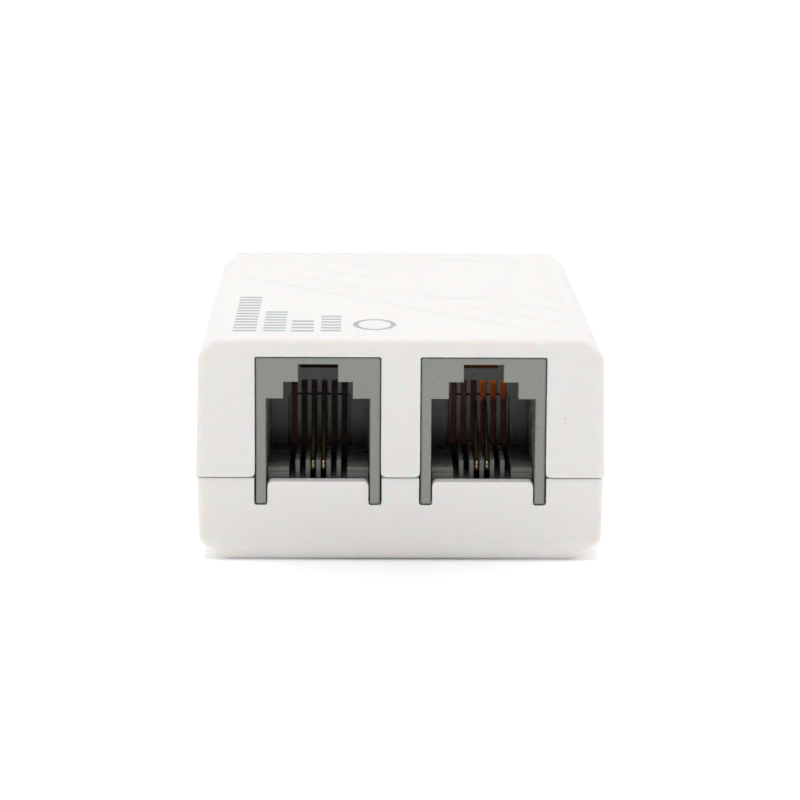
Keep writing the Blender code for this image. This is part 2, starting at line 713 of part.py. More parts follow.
def board_holes():
    """Every hole in the board, as (x, y, radius)."""
    holes = [(x, y, POST_PIN_RADIUS + CLEARANCE) for x, y in BOARD_POSTS]
    for place, turn in JACK_PLACES.values():
        tails = [(contact_x(wired), TAIL_DROP_Y, WIRE_RADIUS + FIT_GAP) for wired in WIRED_PLACES]
        pegs = [(x, y, PEG_RADIUS + CLEARANCE / 2) for x, y in PEG_PLACES]
        for x, y, radius in tails + pegs:
            across, along = turned_about_z(x, y, turn)
            holes.append((place[0] + across, place[1] + along, radius))
    for x, y, _, _, _, spacing in CAPACITORS.values():
        holes += [(x + side * spacing / 2, y, LEAD_HOLE_RADIUS) for side in (-1, 1)]
    for x, y, turn in RESISTORS.values():
        for side in (-1, 1):
            across, along = turned_about_z(side * RESISTOR_LEAD_HALF_SPAN, 0.0, turn)
            holes.append((x + across, y + along, LEAD_HOLE_RADIUS))
    for x, y in CHOKES.values():
        holes += [(x + px, y + py, LEAD_HOLE_RADIUS) for px, py in bobbin_pins()]
    return holes


def circuit_board():
    base = BOARD_TOP_Z - BOARD_THICKNESS
    board = box("circuit_board", (-BOARD_HALF_WIDTH, -BOARD_HALF_LENGTH, base),
                (BOARD_HALF_WIDTH, BOARD_HALF_LENGTH, BOARD_TOP_Z))
    drills = [
        cylinder(f"drill_{i}", (x, y), radius, base - MM, BOARD_TOP_Z + MM, sides=LEAD_SIDES)
        for i, (x, y, radius) in enumerate(board_holes())
    ]
    cut(board, group("board_drills", drills))
    return finish(board, "circuit_board", BOARD_LAMINATE)


def film_capacitor(name):
    x, y, width, thickness, height, spacing = CAPACITORS[name]
    top = PART_BASE_Z + height
    body = box(name, (x - width / 2, y - thickness / 2, PART_BASE_Z), (x + width / 2, y + thickness / 2, top))
    rounded(body, CAPACITOR_ROUNDING * thickness)
    leads = [
        cylinder(f"{name}_lead_{side}", (x + side * spacing / 2, y), LEAD_RADIUS, LEAD_END_Z,
                 PART_BASE_Z + height / 2, sides=LEAD_SIDES)
        for side in (-1, 1)
    ]
    join(body, group(f"{name}_leads", leads))
    return finish(body, name, CAPACITOR_COAT)


def resistor(name):
    """A coated body with swollen ends, on one wire bent down into the board at both ends."""
    x, y, turn = RESISTORS[name]
    top = [(RESISTOR_RADIUS * out, RESISTOR_HALF_LENGTH * along) for out, along in RESISTOR_PROFILE]
    bottom = [(out, -along) for out, along in reversed(top)]
    body = turned(name, top + bottom, steps=12)
    middle_z = PART_BASE_Z + RESISTOR_RADIUS
    to_board = Matrix.Translation((x, y, middle_z)) @ Matrix.Rotation(turn, 4, "Z")
    body.data.transform(to_board @ Matrix.Rotation(math.pi / 2, 4, "Y"))
    span = RESISTOR_LEAD_HALF_SPAN
    drop = LEAD_END_Z - middle_z
    bend = LEAD_BEND_RADIUS
    corner = [
        (bend * math.sin(angle), 0.0, bend * math.cos(angle) - bend)
        for angle in (0.0, math.pi / 6, math.pi / 3, math.pi / 2)
    ]
    right = [(span - bend + across, 0.0, down) for across, _, down in corner] + [(span, 0.0, drop)]
    left = [(-across, 0.0, down) for across, _, down in reversed(right)]
    lead = wire(f"{name}_lead", left + right, LEAD_RADIUS)
    lead.data.transform(to_board)
    join(body, lead)
    return finish(body, name, RESISTOR_COAT)


def bobbin_pins():
    x = BOBBIN_HALF_LENGTH - BOBBIN_FLANGE / 2
    return [(side * x, end * BOBBIN_PIN_Y) for side in (-1, 1) for end in (-1, 1)]


def centred_box(name, centre, half_size):
    low = [c - h for c, h in zip(centre, half_size)]
    high = [c + h for c, h in zip(centre, half_size)]
    return box(name, low, high)


def choke(name):
    """A bobbin with its winding, and two E-shaped core halves whose middle legs meet inside it."""
    x, y = CHOKES[name]
    middle = (x, y, PART_BASE_Z + BOBBIN_HEIGHT / 2)
    leg_half_y = CORE_CENTRE_LEG / 2 + FIT_GAP
    leg_half_z = CORE_THICKNESS / 2 + FIT_GAP
    tube_half_y = leg_half_y + BOBBIN_WALL
    tube_half_z = leg_half_z + BOBBIN_WALL

    bobbin = centred_box(f"{name}_bobbin", middle, (BOBBIN_HALF_LENGTH - FIT_GAP, tube_half_y, tube_half_z))
    flange_x = BOBBIN_HALF_LENGTH - BOBBIN_FLANGE / 2
    flanges = [
        centred_box(f"{name}_flange_{side}", (x + side * flange_x, y, middle[2]),
                    (BOBBIN_FLANGE / 2, BOBBIN_HALF_WIDTH, BOBBIN_HEIGHT / 2))
        for side in (-1, 1)
    ]
    bore = centred_box(f"{name}_bore", middle, (2 * BOBBIN_HALF_LENGTH, leg_half_y, leg_half_z))
    pins = [
        cylinder(f"{name}_pin_{i}", (x + px, y + py), LEAD_RADIUS, LEAD_END_Z, PART_BASE_Z + MM,
                 sides=LEAD_SIDES)
        for i, (px, py) in enumerate(bobbin_pins())
    ]
    join(bobbin, group(f"{name}_flanges", flanges))
    cut(bobbin, bore)
    join(bobbin, group(f"{name}_pins", pins))
    finish(bobbin, f"{name}_bobbin", BOBBIN_PLASTIC)

    winding_half_x = BOBBIN_HALF_LENGTH - BOBBIN_FLANGE - FIT_GAP
    winding = centred_box(f"{name}_winding", middle, (
        winding_half_x, BOBBIN_HALF_WIDTH - WINDING_INSET, BOBBIN_HEIGHT / 2 - WINDING_INSET))
    rounded(winding, WINDING_ROUNDING, segments=3)
    cut(winding, centred_box(f"{name}_winding_hole", middle, (
        2 * winding_half_x, tube_half_y + FIT_GAP, tube_half_z + FIT_GAP)))
    finish(winding, f"{name}_winding", COPPER)

    outer = CORE_HALF_WIDTH
    leg = outer - CORE_OUTER_LEG
    back = CORE_HALF_LENGTH - CORE_BACK
    face = CORE_AIR_GAP / 2
    e_shape = mirrored([
        (CORE_CENTRE_LEG / 2, face),
        (CORE_CENTRE_LEG / 2, back),
        (leg, back),
        (leg, face),
        (outer, face),
        (outer, CORE_HALF_LENGTH),
    ])
    for side, label in ((-1, "left"), (1, "right")):
        outline = [(x + side * along, y + side * across) for across, along in e_shape]
        low = middle[2] - CORE_THICKNESS / 2
        core = prism(f"{name}_core_{label}", outline, low, low + CORE_THICKNESS)
        finish(core, f"{name}_core_{label}", FERRITE)


def build():
    upper_shell()
    lower_shell()
    sockets()
    circuit_board()
    for name in CAPACITORS:
        film_capacitor(name)
    for name in RESISTORS:
        resistor(name)
    for name in CHOKES:
        choke(name)


build()
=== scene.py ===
"""Looks of the telephone line splitter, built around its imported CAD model.

Lengths are in metres, in the CAD model's frame: the origin is the middle of the underside, +Y points to
the back and +Z up. Pieces that show are rebuilt here with finer edges and with their real materials.
"""

import json
import math

import bmesh
import bpy
from mathutils import Matrix, Vector

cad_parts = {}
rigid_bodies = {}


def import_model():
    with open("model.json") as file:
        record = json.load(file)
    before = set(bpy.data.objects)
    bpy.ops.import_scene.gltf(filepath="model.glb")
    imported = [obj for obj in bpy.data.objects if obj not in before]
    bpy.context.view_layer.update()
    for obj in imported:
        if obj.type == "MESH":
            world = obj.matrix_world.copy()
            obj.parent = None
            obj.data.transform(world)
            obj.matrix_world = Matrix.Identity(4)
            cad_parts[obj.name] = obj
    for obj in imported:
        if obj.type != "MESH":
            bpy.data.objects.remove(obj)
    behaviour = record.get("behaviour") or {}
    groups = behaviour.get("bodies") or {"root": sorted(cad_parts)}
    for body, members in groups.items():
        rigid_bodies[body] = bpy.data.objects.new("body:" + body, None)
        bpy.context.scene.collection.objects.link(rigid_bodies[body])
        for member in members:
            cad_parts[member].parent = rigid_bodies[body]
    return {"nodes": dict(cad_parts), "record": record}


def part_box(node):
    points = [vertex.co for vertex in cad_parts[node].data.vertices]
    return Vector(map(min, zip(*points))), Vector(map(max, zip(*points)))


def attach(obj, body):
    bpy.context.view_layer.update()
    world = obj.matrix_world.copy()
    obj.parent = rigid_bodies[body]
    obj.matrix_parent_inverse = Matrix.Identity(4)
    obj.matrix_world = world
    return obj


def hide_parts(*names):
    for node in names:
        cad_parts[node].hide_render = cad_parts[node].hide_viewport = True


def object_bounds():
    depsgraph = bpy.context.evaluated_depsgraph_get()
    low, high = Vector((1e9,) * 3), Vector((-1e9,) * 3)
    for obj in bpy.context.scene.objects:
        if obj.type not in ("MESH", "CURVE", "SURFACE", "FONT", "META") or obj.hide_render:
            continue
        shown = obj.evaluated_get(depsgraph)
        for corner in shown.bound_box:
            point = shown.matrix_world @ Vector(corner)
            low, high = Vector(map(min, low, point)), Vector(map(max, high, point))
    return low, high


MM = 0.001
SHARP_ANGLE = 40.0
HIDDEN_PART_SHARP_ANGLE = 35.0
SAME_POINT = 0.001 * MM
WELD_DISTANCE = 0.0005 * MM
TURNED_WELD_DISTANCE = 0.01 * MM
DOME_STEPS = tuple(math.radians(step) for step in (20, 40, 60, 75, 86))

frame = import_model()
cad_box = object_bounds()

WORK = bpy.data.collections.new("working")
bpy.context.scene.collection.children.link(WORK)
PIECES = bpy.data.collections.new("pieces")
bpy.context.scene.collection.children.link(PIECES)

# ---------------------------------------------------------------- camera, light and floor

CAMERA_PLACE = Vector((-4.18 * MM, -322.33 * MM, 73.54 * MM))
CAMERA_YAW = -0.014
CAMERA_PITCH = 0.193
CAMERA_ROLL = 0.006
CAMERA_LENS = 137.43
CAMERA_SENSOR = 36.0
CAMERA_NEAR = 0.01
CAMERA_FAR = 20.0
# The floor's glow is painted light. It is dim near the object as a painted contact shadow and rises to full
# beyond SHADE_END.
FLOOR_GLOW_NEAR = 0.07
FLOOR_GLOW_FAR = 0.4
SHADE_EDGE = 29.0 * MM
SHADE_END = 56.0 * MM
SHADE_SHAPE = (1.5, 1.0, 1.0)
# Painted shade: the socket plastic is drawn darker deeper inside each socket, DEEP_SHADE at DEEP_START
# rising to full at DEEP_END.
DEEP_SHADE = 0.5
DEEP_START = 14.5 * MM
DEEP_END = 28.5 * MM
LID_GLOW_PLACE = (8.5 * MM, -0.5 * MM, 19.5 * MM)
LID_GLOW_WIDTH = 14.0 * MM
LID_GLOW_LENGTH = 8.0 * MM
LID_GLOW_POWER = 0.00078
LID_GLOW_COLOUR = (1.0, 0.5, 0.25)
SOFT_BOX_TILT = 0.5
SOFT_BOX_START = 0.25
SOFT_BOX_FULL = 0.55
WHITE_COLOURS = ((0.856, 0.838, 0.818), (0.870, 0.852, 0.832))
WHITE_SCATTER = (1.0, 0.5, 0.3)
GREY_COLOURS = ((0.266, 0.276, 0.251), (0.286, 0.297, 0.271))
GREY_SPECULAR = 0.28


def add_camera():
    data = bpy.data.cameras.new("camera")
    data.lens = CAMERA_LENS
    data.sensor_width = CAMERA_SENSOR
    data.clip_start = CAMERA_NEAR
    data.clip_end = CAMERA_FAR
    camera = bpy.data.objects.new("camera", data)
    bpy.context.scene.collection.objects.link(camera)
    level = Matrix.Rotation(CAMERA_YAW, 4, "Z") @ Matrix.Rotation(math.pi / 2 - CAMERA_PITCH, 4, "X")
    camera.matrix_world = Matrix.Translation(CAMERA_PLACE) @ level @ Matrix.Rotation(CAMERA_ROLL, 4, "Z")
    bpy.context.scene.camera = camera


def add_sun(name, elevation, azimuth, strength, softness, colour=(1.0, 1.0, 1.0)):
    """A soft distant light. Azimuth 0 shines from the front and 90 from the right, in degrees."""
    data = bpy.data.lights.new(name, "SUN")
    data.energy = strength
    data.angle = math.radians(softness)
    data.color = colour
    light = bpy.data.objects.new(name, data)
    bpy.context.scene.collection.objects.link(light)
    up = math.radians(elevation)
    around = math.radians(azimuth)
    source = Vector((math.sin(around) * math.cos(up), -math.cos(around) * math.cos(up), math.sin(up)))
    light.rotation_mode = "QUATERNION"
    light.rotation_quaternion = source.to_track_quat("Z", "Y")


def add_light_through_lid():
    """The warm light that gets through the thin white lid, as a faint lamp just under it."""
    data = bpy.data.lights.new("light_through_lid", "AREA")
    data.shape = "RECTANGLE"
    data.size = LID_GLOW_WIDTH
    data.size_y = LID_GLOW_LENGTH
    data.energy = LID_GLOW_POWER
    data.color = LID_GLOW_COLOUR
    light = bpy.data.objects.new("light_through_lid", data)
    bpy.context.scene.collection.objects.link(light)
    light.location = LID_GLOW_PLACE
    light.visible_glossy = False


def add_world(seen, overhead, horizon):
    """A white surround that sheds light from overhead and behind, and stays dim at the front near the
    horizon, like a room with one large soft box above the table."""
    world = bpy.data.worlds.new("studio")
    world.use_nodes = True
    bpy.context.scene.world = world
    nodes, links = world.node_tree.nodes, world.node_tree.links
    place = nodes.new("ShaderNodeTexCoord")
    split = nodes.new("ShaderNodeSeparateXYZ")
    links.new(place.outputs["Generated"], split.inputs["Vector"])
    raised = nodes.new("ShaderNodeMath")
    raised.operation = "MULTIPLY_ADD"
    raised.inputs[1].default_value = SOFT_BOX_TILT
    links.new(split.outputs["Y"], raised.inputs[0])
    links.new(split.outputs["Z"], raised.inputs[2])
    shed = spread(nodes, links, raised.outputs[0], horizon, overhead, SOFT_BOX_START, SOFT_BOX_FULL)
    path = nodes.new("ShaderNodeLightPath")
    strength = nodes.new("ShaderNodeMix")
    links.new(path.outputs["Is Camera Ray"], strength.inputs["Factor"])
    links.new(shed, strength.inputs["A"])
    strength.inputs["B"].default_value = seen
    background = nodes["Background"]
    links.new(strength.outputs["Result"], background.inputs["Strength"])
    background.inputs["Color"].default_value = (1.0, 1.0, 1.0, 1.0)


def add_floor(half_size=3.0):
    mesh = bpy.data.meshes.new("floor")
    sheet = bmesh.new()
    bmesh.ops.create_grid(sheet, x_segments=1, y_segments=1, size=half_size)
    sheet.to_mesh(mesh)
    sheet.free()
    floor = bpy.data.objects.new("floor", mesh)
    bpy.context.scene.collection.objects.link(floor)
    floor.location.z = cad_box[0].z
    mesh.materials.append(floor_white())


# ---------------------------------------------------------------- materials


def new_material(name):
    made = bpy.data.materials.new(name)
    made.use_nodes = True
    tree = made.node_tree
    return made, tree.nodes, tree.links, tree.nodes["Principled BSDF"]


def noise(nodes, links, size, detail=3.0):
    """Noise whose features are about that size, in the piece's own space."""
    place = nodes.new("ShaderNodeTexCoord")
    texture = nodes.new("ShaderNodeTexNoise")
    texture.inputs["Scale"].default_value = 1.0 / size
    texture.inputs["Detail"].default_value = detail
    links.new(place.outputs["Object"], texture.inputs["Vector"])
    return texture.outputs["Fac"]


def spread(nodes, links, source, low, high, start=0.35, end=0.65):
    """Maps start..end of a source to low..high."""
    mapped = nodes.new("ShaderNodeMapRange")
    for name, value in (("From Min", start), ("From Max", end), ("To Min", low), ("To Max", high)):
        mapped.inputs[name].default_value = value
    links.new(source, mapped.inputs["Value"])
    return mapped.outputs["Result"]


def mix_colours(nodes, links, factor, first, second):
    """A mix of two colours, each an output or a plain colour."""
    mixed = nodes.new("ShaderNodeMix")
    mixed.data_type = "RGBA"
    links.new(factor, mixed.inputs["Factor"])
    for value, socket in ((first, mixed.inputs[6]), (second, mixed.inputs[7])):
        if isinstance(value, tuple):
            socket.default_value = (*value, 1.0)
        else:
            links.new(value, socket)
    return mixed.outputs[2]


def add_bump(nodes, links, shader, height, depth, strength=1.0):
    bump = nodes.new("ShaderNodeBump")
    bump.inputs["Distance"].default_value = depth
    bump.inputs["Strength"].default_value = strength
    links.new(height, bump.inputs["Height"])
    links.new(bump.outputs["Normal"], shader.inputs["Normal"])


def specks(nodes, links, spacing, radius, share):
    """1 inside small scattered dots and 0 elsewhere."""
    place = nodes.new("ShaderNodeTexCoord")
    cells = nodes.new("ShaderNodeTexVoronoi")
    cells.inputs["Scale"].default_value = 1.0 / spacing
    links.new(place.outputs["Object"], cells.inputs["Vector"])
    dot = spread(nodes, links, cells.outputs["Distance"], 1.0, 0.0, 0.6 * radius / spacing, radius / spacing)
    picked = nodes.new("ShaderNodeMath")
    picked.operation = "LESS_THAN"
    picked.inputs[1].default_value = share
    split = nodes.new("ShaderNodeSeparateColor")
    links.new(cells.outputs["Color"], split.inputs["Color"])
    links.new(split.outputs["Red"], picked.inputs[0])
    both = nodes.new("ShaderNodeMath")
    both.operation = "MULTIPLY"
    links.new(dot, both.inputs[0])
    links.new(picked.outputs[0], both.inputs[1])
    return both.outputs[0]


def floor_white():
    """The white table. Its glow is painted light: dim near the object, as a painted contact shadow, and
    brighter away from it.
    """
    made, nodes, links, shader = new_material("floor_white")
    shader.inputs["Base Color"].default_value = (0.95, 0.95, 0.95, 1.0)
    shader.inputs["Roughness"].default_value = 0.7
    shader.inputs["Emission Color"].default_value = (1.0, 1.0, 1.0, 1.0)
    place = nodes.new("ShaderNodeTexCoord")
    shaped = nodes.new("ShaderNodeVectorMath")
    shaped.operation = "MULTIPLY"
    shaped.inputs[1].default_value = SHADE_SHAPE
    links.new(place.outputs["Object"], shaped.inputs[0])
    length = nodes.new("ShaderNodeVectorMath")
    length.operation = "LENGTH"
    links.new(shaped.outputs["Vector"], length.inputs[0])
    # Painted shadow: the glow is weakest next to the case outline and grows away from it.
    glow = spread(nodes, links, length.outputs["Value"], FLOOR_GLOW_NEAR, FLOOR_GLOW_FAR,
                  SHADE_EDGE, SHADE_END)
    links.new(glow, shader.inputs["Emission Strength"])
    return made


def white_plastic():
    """Warm white ABS that lets warm light through: slightly cloudy, finely grained, with a few specks."""
    made, nodes, links, shader = new_material("white_plastic")
    cloud = noise(nodes, links, 9 * MM)
    colour = mix_colours(nodes, links, cloud, *WHITE_COLOURS)
    speck = specks(nodes, links, 2.6 * MM, 0.10 * MM, 0.45)
    colour = mix_colours(nodes, links, speck, colour, (0.42, 0.30, 0.20))
    links.new(colour, shader.inputs["Base Color"])
    rough = spread(nodes, links, noise(nodes, links, 1.2 * MM), 0.34, 0.46)
    links.new(rough, shader.inputs["Roughness"])
    add_bump(nodes, links, shader, noise(nodes, links, 0.16 * MM, 2.0), 0.003 * MM)
    shader.inputs["Subsurface Weight"].default_value = 1.0
    shader.inputs["Subsurface Radius"].default_value = WHITE_SCATTER
    shader.inputs["Subsurface Scale"].default_value = 0.5 * MM
    return made


def painted_shade_from_mouth(nodes, links, deep_shade):
    """Painted shade: 1 at a socket's mouth, falling to the deep shade behind its rear wall."""
    place = nodes.new("ShaderNodeTexCoord")
    ahead = nodes.new("ShaderNodeVectorMath")
    ahead.operation = "ABSOLUTE"
    links.new(place.outputs["Object"], ahead.inputs[0])
    split = nodes.new("ShaderNodeSeparateXYZ")
    links.new(ahead.outputs["Vector"], split.inputs["Vector"])
    return spread(nodes, links, split.outputs["Y"], deep_shade, 1.0, DEEP_START, DEEP_END)


def tinted(nodes, links, colour, share):
    """A colour times a share."""
    scaled = nodes.new("ShaderNodeVectorMath")
    scaled.operation = "SCALE"
    links.new(colour, scaled.inputs[0])
    links.new(share, scaled.inputs["Scale"])
    return scaled.outputs["Vector"]


def grey_plastic(name, shade, deep_shade):
    """The sockets' mid grey plastic, smooth enough to mirror a little. Both shades are painted shade: shade
    darkens the whole piece and deep_shade darkens it deeper inside the socket.
    """
    made, nodes, links, shader = new_material(name)
    cloud = noise(nodes, links, 4 * MM)
    dark, light = (tuple(shade * part for part in colour) for colour in GREY_COLOURS)
    colour = mix_colours(nodes, links, cloud, dark, light)
    dust = specks(nodes, links, 1.9 * MM, 0.07 * MM, 0.4)
    colour = mix_colours(nodes, links, dust, colour, (0.62, 0.60, 0.56))
    # Painted shade: the colour is scaled down deeper inside the socket.
    share = painted_shade_from_mouth(nodes, links, deep_shade)
    links.new(tinted(nodes, links, colour, share), shader.inputs["Base Color"])
    rough = spread(nodes, links, noise(nodes, links, 2.5 * MM), 0.26, 0.30)
    links.new(rough, shader.inputs["Roughness"])
    shader.inputs["Specular IOR Level"].default_value = GREY_SPECULAR
    add_bump(nodes, links, shader, noise(nodes, links, 2.0 * MM, 1.0), 0.001 * MM)
    return made


def metal(name, bright, dull, roughness):
    made, nodes, links, shader = new_material(name)
    tarnish = noise(nodes, links, 3 * MM)
    links.new(mix_colours(nodes, links, tarnish, bright, dull), shader.inputs["Base Color"])
    shader.inputs["Metallic"].default_value = 1.0
    rough = spread(nodes, links, noise(nodes, links, 2 * MM), 0.9 * roughness, 1.1 * roughness)
    links.new(rough, shader.inputs["Roughness"])
    return made


def coat(name, light, dark, roughness, grain=0.3 * MM, depth=0.01 * MM, glow=(0.0, 0.0, 0.0)):
    """A dipped, moulded or sintered surface with a slightly uneven colour and finish. Its glow stands for
    light that reaches it through the white case."""
    made, nodes, links, shader = new_material(name)
    cloud = noise(nodes, links, 2 * MM)
    links.new(mix_colours(nodes, links, cloud, light, dark), shader.inputs["Base Color"])
    rough = spread(nodes, links, noise(nodes, links, grain), 0.8 * roughness, 1.2 * roughness)
    links.new(rough, shader.inputs["Roughness"])
    add_bump(nodes, links, shader, noise(nodes, links, grain, 2.0), depth)
    shader.inputs["Emission Color"].default_value = (*glow, 1.0)
    shader.inputs["Emission Strength"].default_value = 1.0
    return made


def winding_wrap():
    """Amber film round the winding, with the close turns of wire showing through it along X."""
    made, nodes, links, shader = new_material("winding_wrap")
    place = nodes.new("ShaderNodeTexCoord")
    turns = nodes.new("ShaderNodeTexWave")
    turns.bands_direction = "X"
    turns.inputs["Scale"].default_value = 1.0 / (1.2 * MM)
    turns.inputs["Distortion"].default_value = 0.4
    links.new(place.outputs["Object"], turns.inputs["Vector"])
    colour = mix_colours(nodes, links, turns.outputs["Fac"], (0.62, 0.22, 0.04), (0.88, 0.38, 0.08))
    links.new(colour, shader.inputs["Base Color"])
    shader.inputs["Roughness"].default_value = 0.35
    add_bump(nodes, links, shader, turns.outputs["Fac"], 0.05 * MM)
    return made


# ---------------------------------------------------------------- modelling helpers


def add_object(name, mesh):
    made = bpy.data.objects.new(name, mesh)
    WORK.objects.link(made)
    return made


def mesh_from(name, sheet):
    bmesh.ops.recalc_face_normals(sheet, faces=sheet.faces)
    mesh = bpy.data.meshes.new(name)
    sheet.to_mesh(mesh)
    sheet.free()
    return mesh


def box(name, low, high):
    size = [b - a for a, b in zip(low, high)]
    centre = [(a + b) / 2 for a, b in zip(low, high)]
    sheet = bmesh.new()
    place = Matrix.Translation(centre) @ Matrix.Diagonal((*size, 1.0))
    bmesh.ops.create_cube(sheet, size=1.0, matrix=place)
    return add_object(name, mesh_from(name, sheet))


def cylinder(name, centre, radius, low, high, sides=24):
    sheet = bmesh.new()
    place = Matrix.Translation((centre[0], centre[1], (low + high) / 2))
    bmesh.ops.create_cone(
        sheet, cap_ends=True, segments=sides, radius1=radius, radius2=radius, depth=high - low, matrix=place
    )
    return add_object(name, mesh_from(name, sheet))


def rectangle(z, half_x, half_y):
    return [(-half_x, -half_y, z), (half_x, -half_y, z), (half_x, half_y, z), (-half_x, half_y, z)]


def loft(name, rings):
    """A closed body through rings of corners, which all have the same number of corners."""
    sheet = bmesh.new()
    rows = [[sheet.verts.new(point) for point in ring] for ring in rings]
    count = len(rows[0])
    sheet.faces.new(rows[0])
    sheet.faces.new(rows[-1])
    for lower, upper in zip(rows, rows[1:]):
        for here in range(count):
            after = (here + 1) % count
            sheet.faces.new((lower[here], lower[after], upper[after], upper[here]))
    return add_object(name, mesh_from(name, sheet))


def to_mesh(source, name):
    """Turns a curve, or an object with modifiers, into a plain welded mesh object."""
    bpy.context.view_layer.update()
    graph = bpy.context.evaluated_depsgraph_get()
    mesh = bpy.data.meshes.new_from_object(source.evaluated_get(graph))
    mesh.name = name
    sheet = bmesh.new()
    sheet.from_mesh(mesh)
    bmesh.ops.remove_doubles(sheet, verts=sheet.verts, dist=WELD_DISTANCE)
    bmesh.ops.recalc_face_normals(sheet, faces=sheet.faces)
    sheet.to_mesh(mesh)
    sheet.free()
    made = add_object(name, mesh)
    made.matrix_world = source.matrix_world
    bpy.data.objects.remove(source, do_unlink=True)
    return made


def prism(name, outline, low, high, axis="Z"):
    """A flat outline, drawn in XY or (for axis Y) in XZ, extruded along its axis from low to high."""
    curve = bpy.data.curves.new(name, "CURVE")
    curve.dimensions = "2D"
    curve.fill_mode = "BOTH"
    curve.extrude = (high - low) / 2
    spline = curve.splines.new("POLY")
    spline.points.add(len(outline) - 1)
    spline.use_cyclic_u = True
    for point, (across, along) in zip(spline.points, outline):
        point.co = (across, along, 0.0, 1.0)
    source = bpy.data.objects.new(name + "_outline", curve)
    WORK.objects.link(source)
    made = to_mesh(source, name)
    made.data.transform(Matrix.Translation((0.0, 0.0, (low + high) / 2)))
    if axis == "Y":
        made.data.transform(Matrix(((1, 0, 0, 0), (0, 0, 1, 0), (0, 1, 0, 0), (0, 0, 0, 1))))
        made.data.flip_normals()
    return made


def softened(corners, steps=5):
    """An outline with its corners rounded. Each corner is (across, along, radius)."""
    outline = []
    count = len(corners)
    for here, (x, y, radius) in enumerate(corners):
        corner = Vector((x, y))
        if radius == 0.0:
            outline.append((x, y))
            continue
        before = (Vector(corners[here - 1][:2]) - corner).normalized()
        after = (Vector(corners[(here + 1) % count][:2]) - corner).normalized()
        half_angle = before.angle(after) / 2
        reach = radius / math.tan(half_angle)
        centre = corner + (before + after).normalized() * (radius / math.sin(half_angle))
        start = corner + before * reach - centre
        end = corner + after * reach - centre
        sweep = start.angle_signed(end)
        for step in range(steps + 1):
            turn = Matrix.Rotation(-sweep * step / steps, 2)
            outline.append(tuple(centre + turn @ start))
    return [
        point for here, point in enumerate(outline)
        if (Vector(point) - Vector(outline[here - 1])).length > SAME_POINT
    ]


def mirrored(corners):
    """Completes the right half of an outline, in order round it, with its mirror image."""
    return corners + [(-corner[0], *corner[1:]) for corner in reversed(corners)]


def offset(outline, distance):
    """An anticlockwise outline made larger all round by a distance."""
    grown = []
    count = len(outline)
    for here, point in enumerate(outline):
        before = (Vector(point) - Vector(outline[here - 1])).normalized()
        after = (Vector(outline[(here + 1) % count]) - Vector(point)).normalized()
        middle = Vector((before.y + after.y, -before.x - after.x)).normalized()
        reach = distance / middle.dot(Vector((before.y, -before.x)))
        grown.append(tuple(Vector(point) + middle * reach))
    return grown


def ring_solid(name, centre, half, profile, steps=96):
    """A closed ring along an ellipse. The profile is a loop of (distance outside the ellipse, z)."""
    sheet = bmesh.new()
    rows = []
    for step in range(steps):
        angle = 2 * math.pi * step / steps
        rows.append([
            sheet.verts.new((
                centre[0] + (half[0] + out) * math.cos(angle),
                centre[1] + (half[1] + out) * math.sin(angle),
                z,
            ))
            for out, z in profile
        ])
    count = len(profile)
    for here in range(steps):
        row, following = rows[here], rows[(here + 1) % steps]
        for spot in range(count):
            after = (spot + 1) % count
            sheet.faces.new((row[spot], row[after], following[after], following[spot]))
    return add_object(name, mesh_from(name, sheet))


def wire(name, points, radius, resolution=4):
    """A round wire along points, with domed ends."""
    domes = []
    for end, before in ((points[0], points[1]), (points[-1], points[-2])):
        outward = (Vector(end) - Vector(before)).normalized()
        domes.append([
            (Vector(end) + outward * radius * math.sin(angle), math.cos(angle))
            for angle in DOME_STEPS
        ])
    run = domes[0][::-1] + [(Vector(point), 1.0) for point in points] + domes[1]
    curve = bpy.data.curves.new(name, "CURVE")
    curve.dimensions = "3D"
    curve.bevel_depth = radius
    curve.bevel_resolution = resolution
    curve.use_fill_caps = True
    spline = curve.splines.new("POLY")
    spline.points.add(len(run) - 1)
    for point, (place, share) in zip(spline.points, run):
        point.co = (*place, 1.0)
        point.radius = share
    source = bpy.data.objects.new(name + "_path", curve)
    WORK.objects.link(source)
    return to_mesh(source, name)


def turned(name, profile, steps=32):
    """A solid turned about Z. The profile runs from top to bottom as (radius, z)."""
    mesh = bpy.data.meshes.new(name)
    points = [(radius, 0.0, z) for radius, z in profile]
    mesh.from_pydata(points, [(i, i + 1) for i in range(len(points) - 1)], [])
    made = add_object(name, mesh)
    screw = made.modifiers.new("Screw", "SCREW")
    screw.axis = "Z"
    screw.angle = 2 * math.pi
    screw.steps = steps
    screw.render_steps = steps
    screw.use_merge_vertices = True
    screw.merge_threshold = TURNED_WELD_DISTANCE
    return to_mesh(made, name)


def rounded(obj, width, segments=3, angle=30.0):
    bevel = obj.modifiers.new("Bevel", "BEVEL")
    bevel.width = width
    bevel.segments = segments
    bevel.limit_method = "ANGLE"
    bevel.angle_limit = math.radians(angle)
    return obj


def group(name, tools):
    """Joins separate bodies into one object."""
    sheet = bmesh.new()
    for tool in tools:
        part = tool.data.copy()
        part.transform(tool.matrix_world)
        sheet.from_mesh(part)
        bpy.data.objects.remove(tool, do_unlink=True)
    return add_object(name, mesh_from(name, sheet))


def combine(target, tool, operation):
    boolean = target.modifiers.new(f"{operation.title()} {tool.name}", "BOOLEAN")
    boolean.operation = operation
    boolean.object = tool
    tool.hide_render = True
    tool.hide_viewport = False
    return target


def cut(target, *tools):
    for tool in tools:
        combine(target, tool, "DIFFERENCE")
    return target


def join(target, *tools):
    for tool in tools:
        combine(target, tool, "UNION")
    return target


def baked(obj, name):
    """Applies an object's Booleans and bevels and drops the tools that they used."""
    tools = [modifier.object for modifier in obj.modifiers if modifier.type == "BOOLEAN"]
    made = to_mesh(obj, name)
    for tool in tools:
        bpy.data.objects.remove(tool, do_unlink=True)
    return made


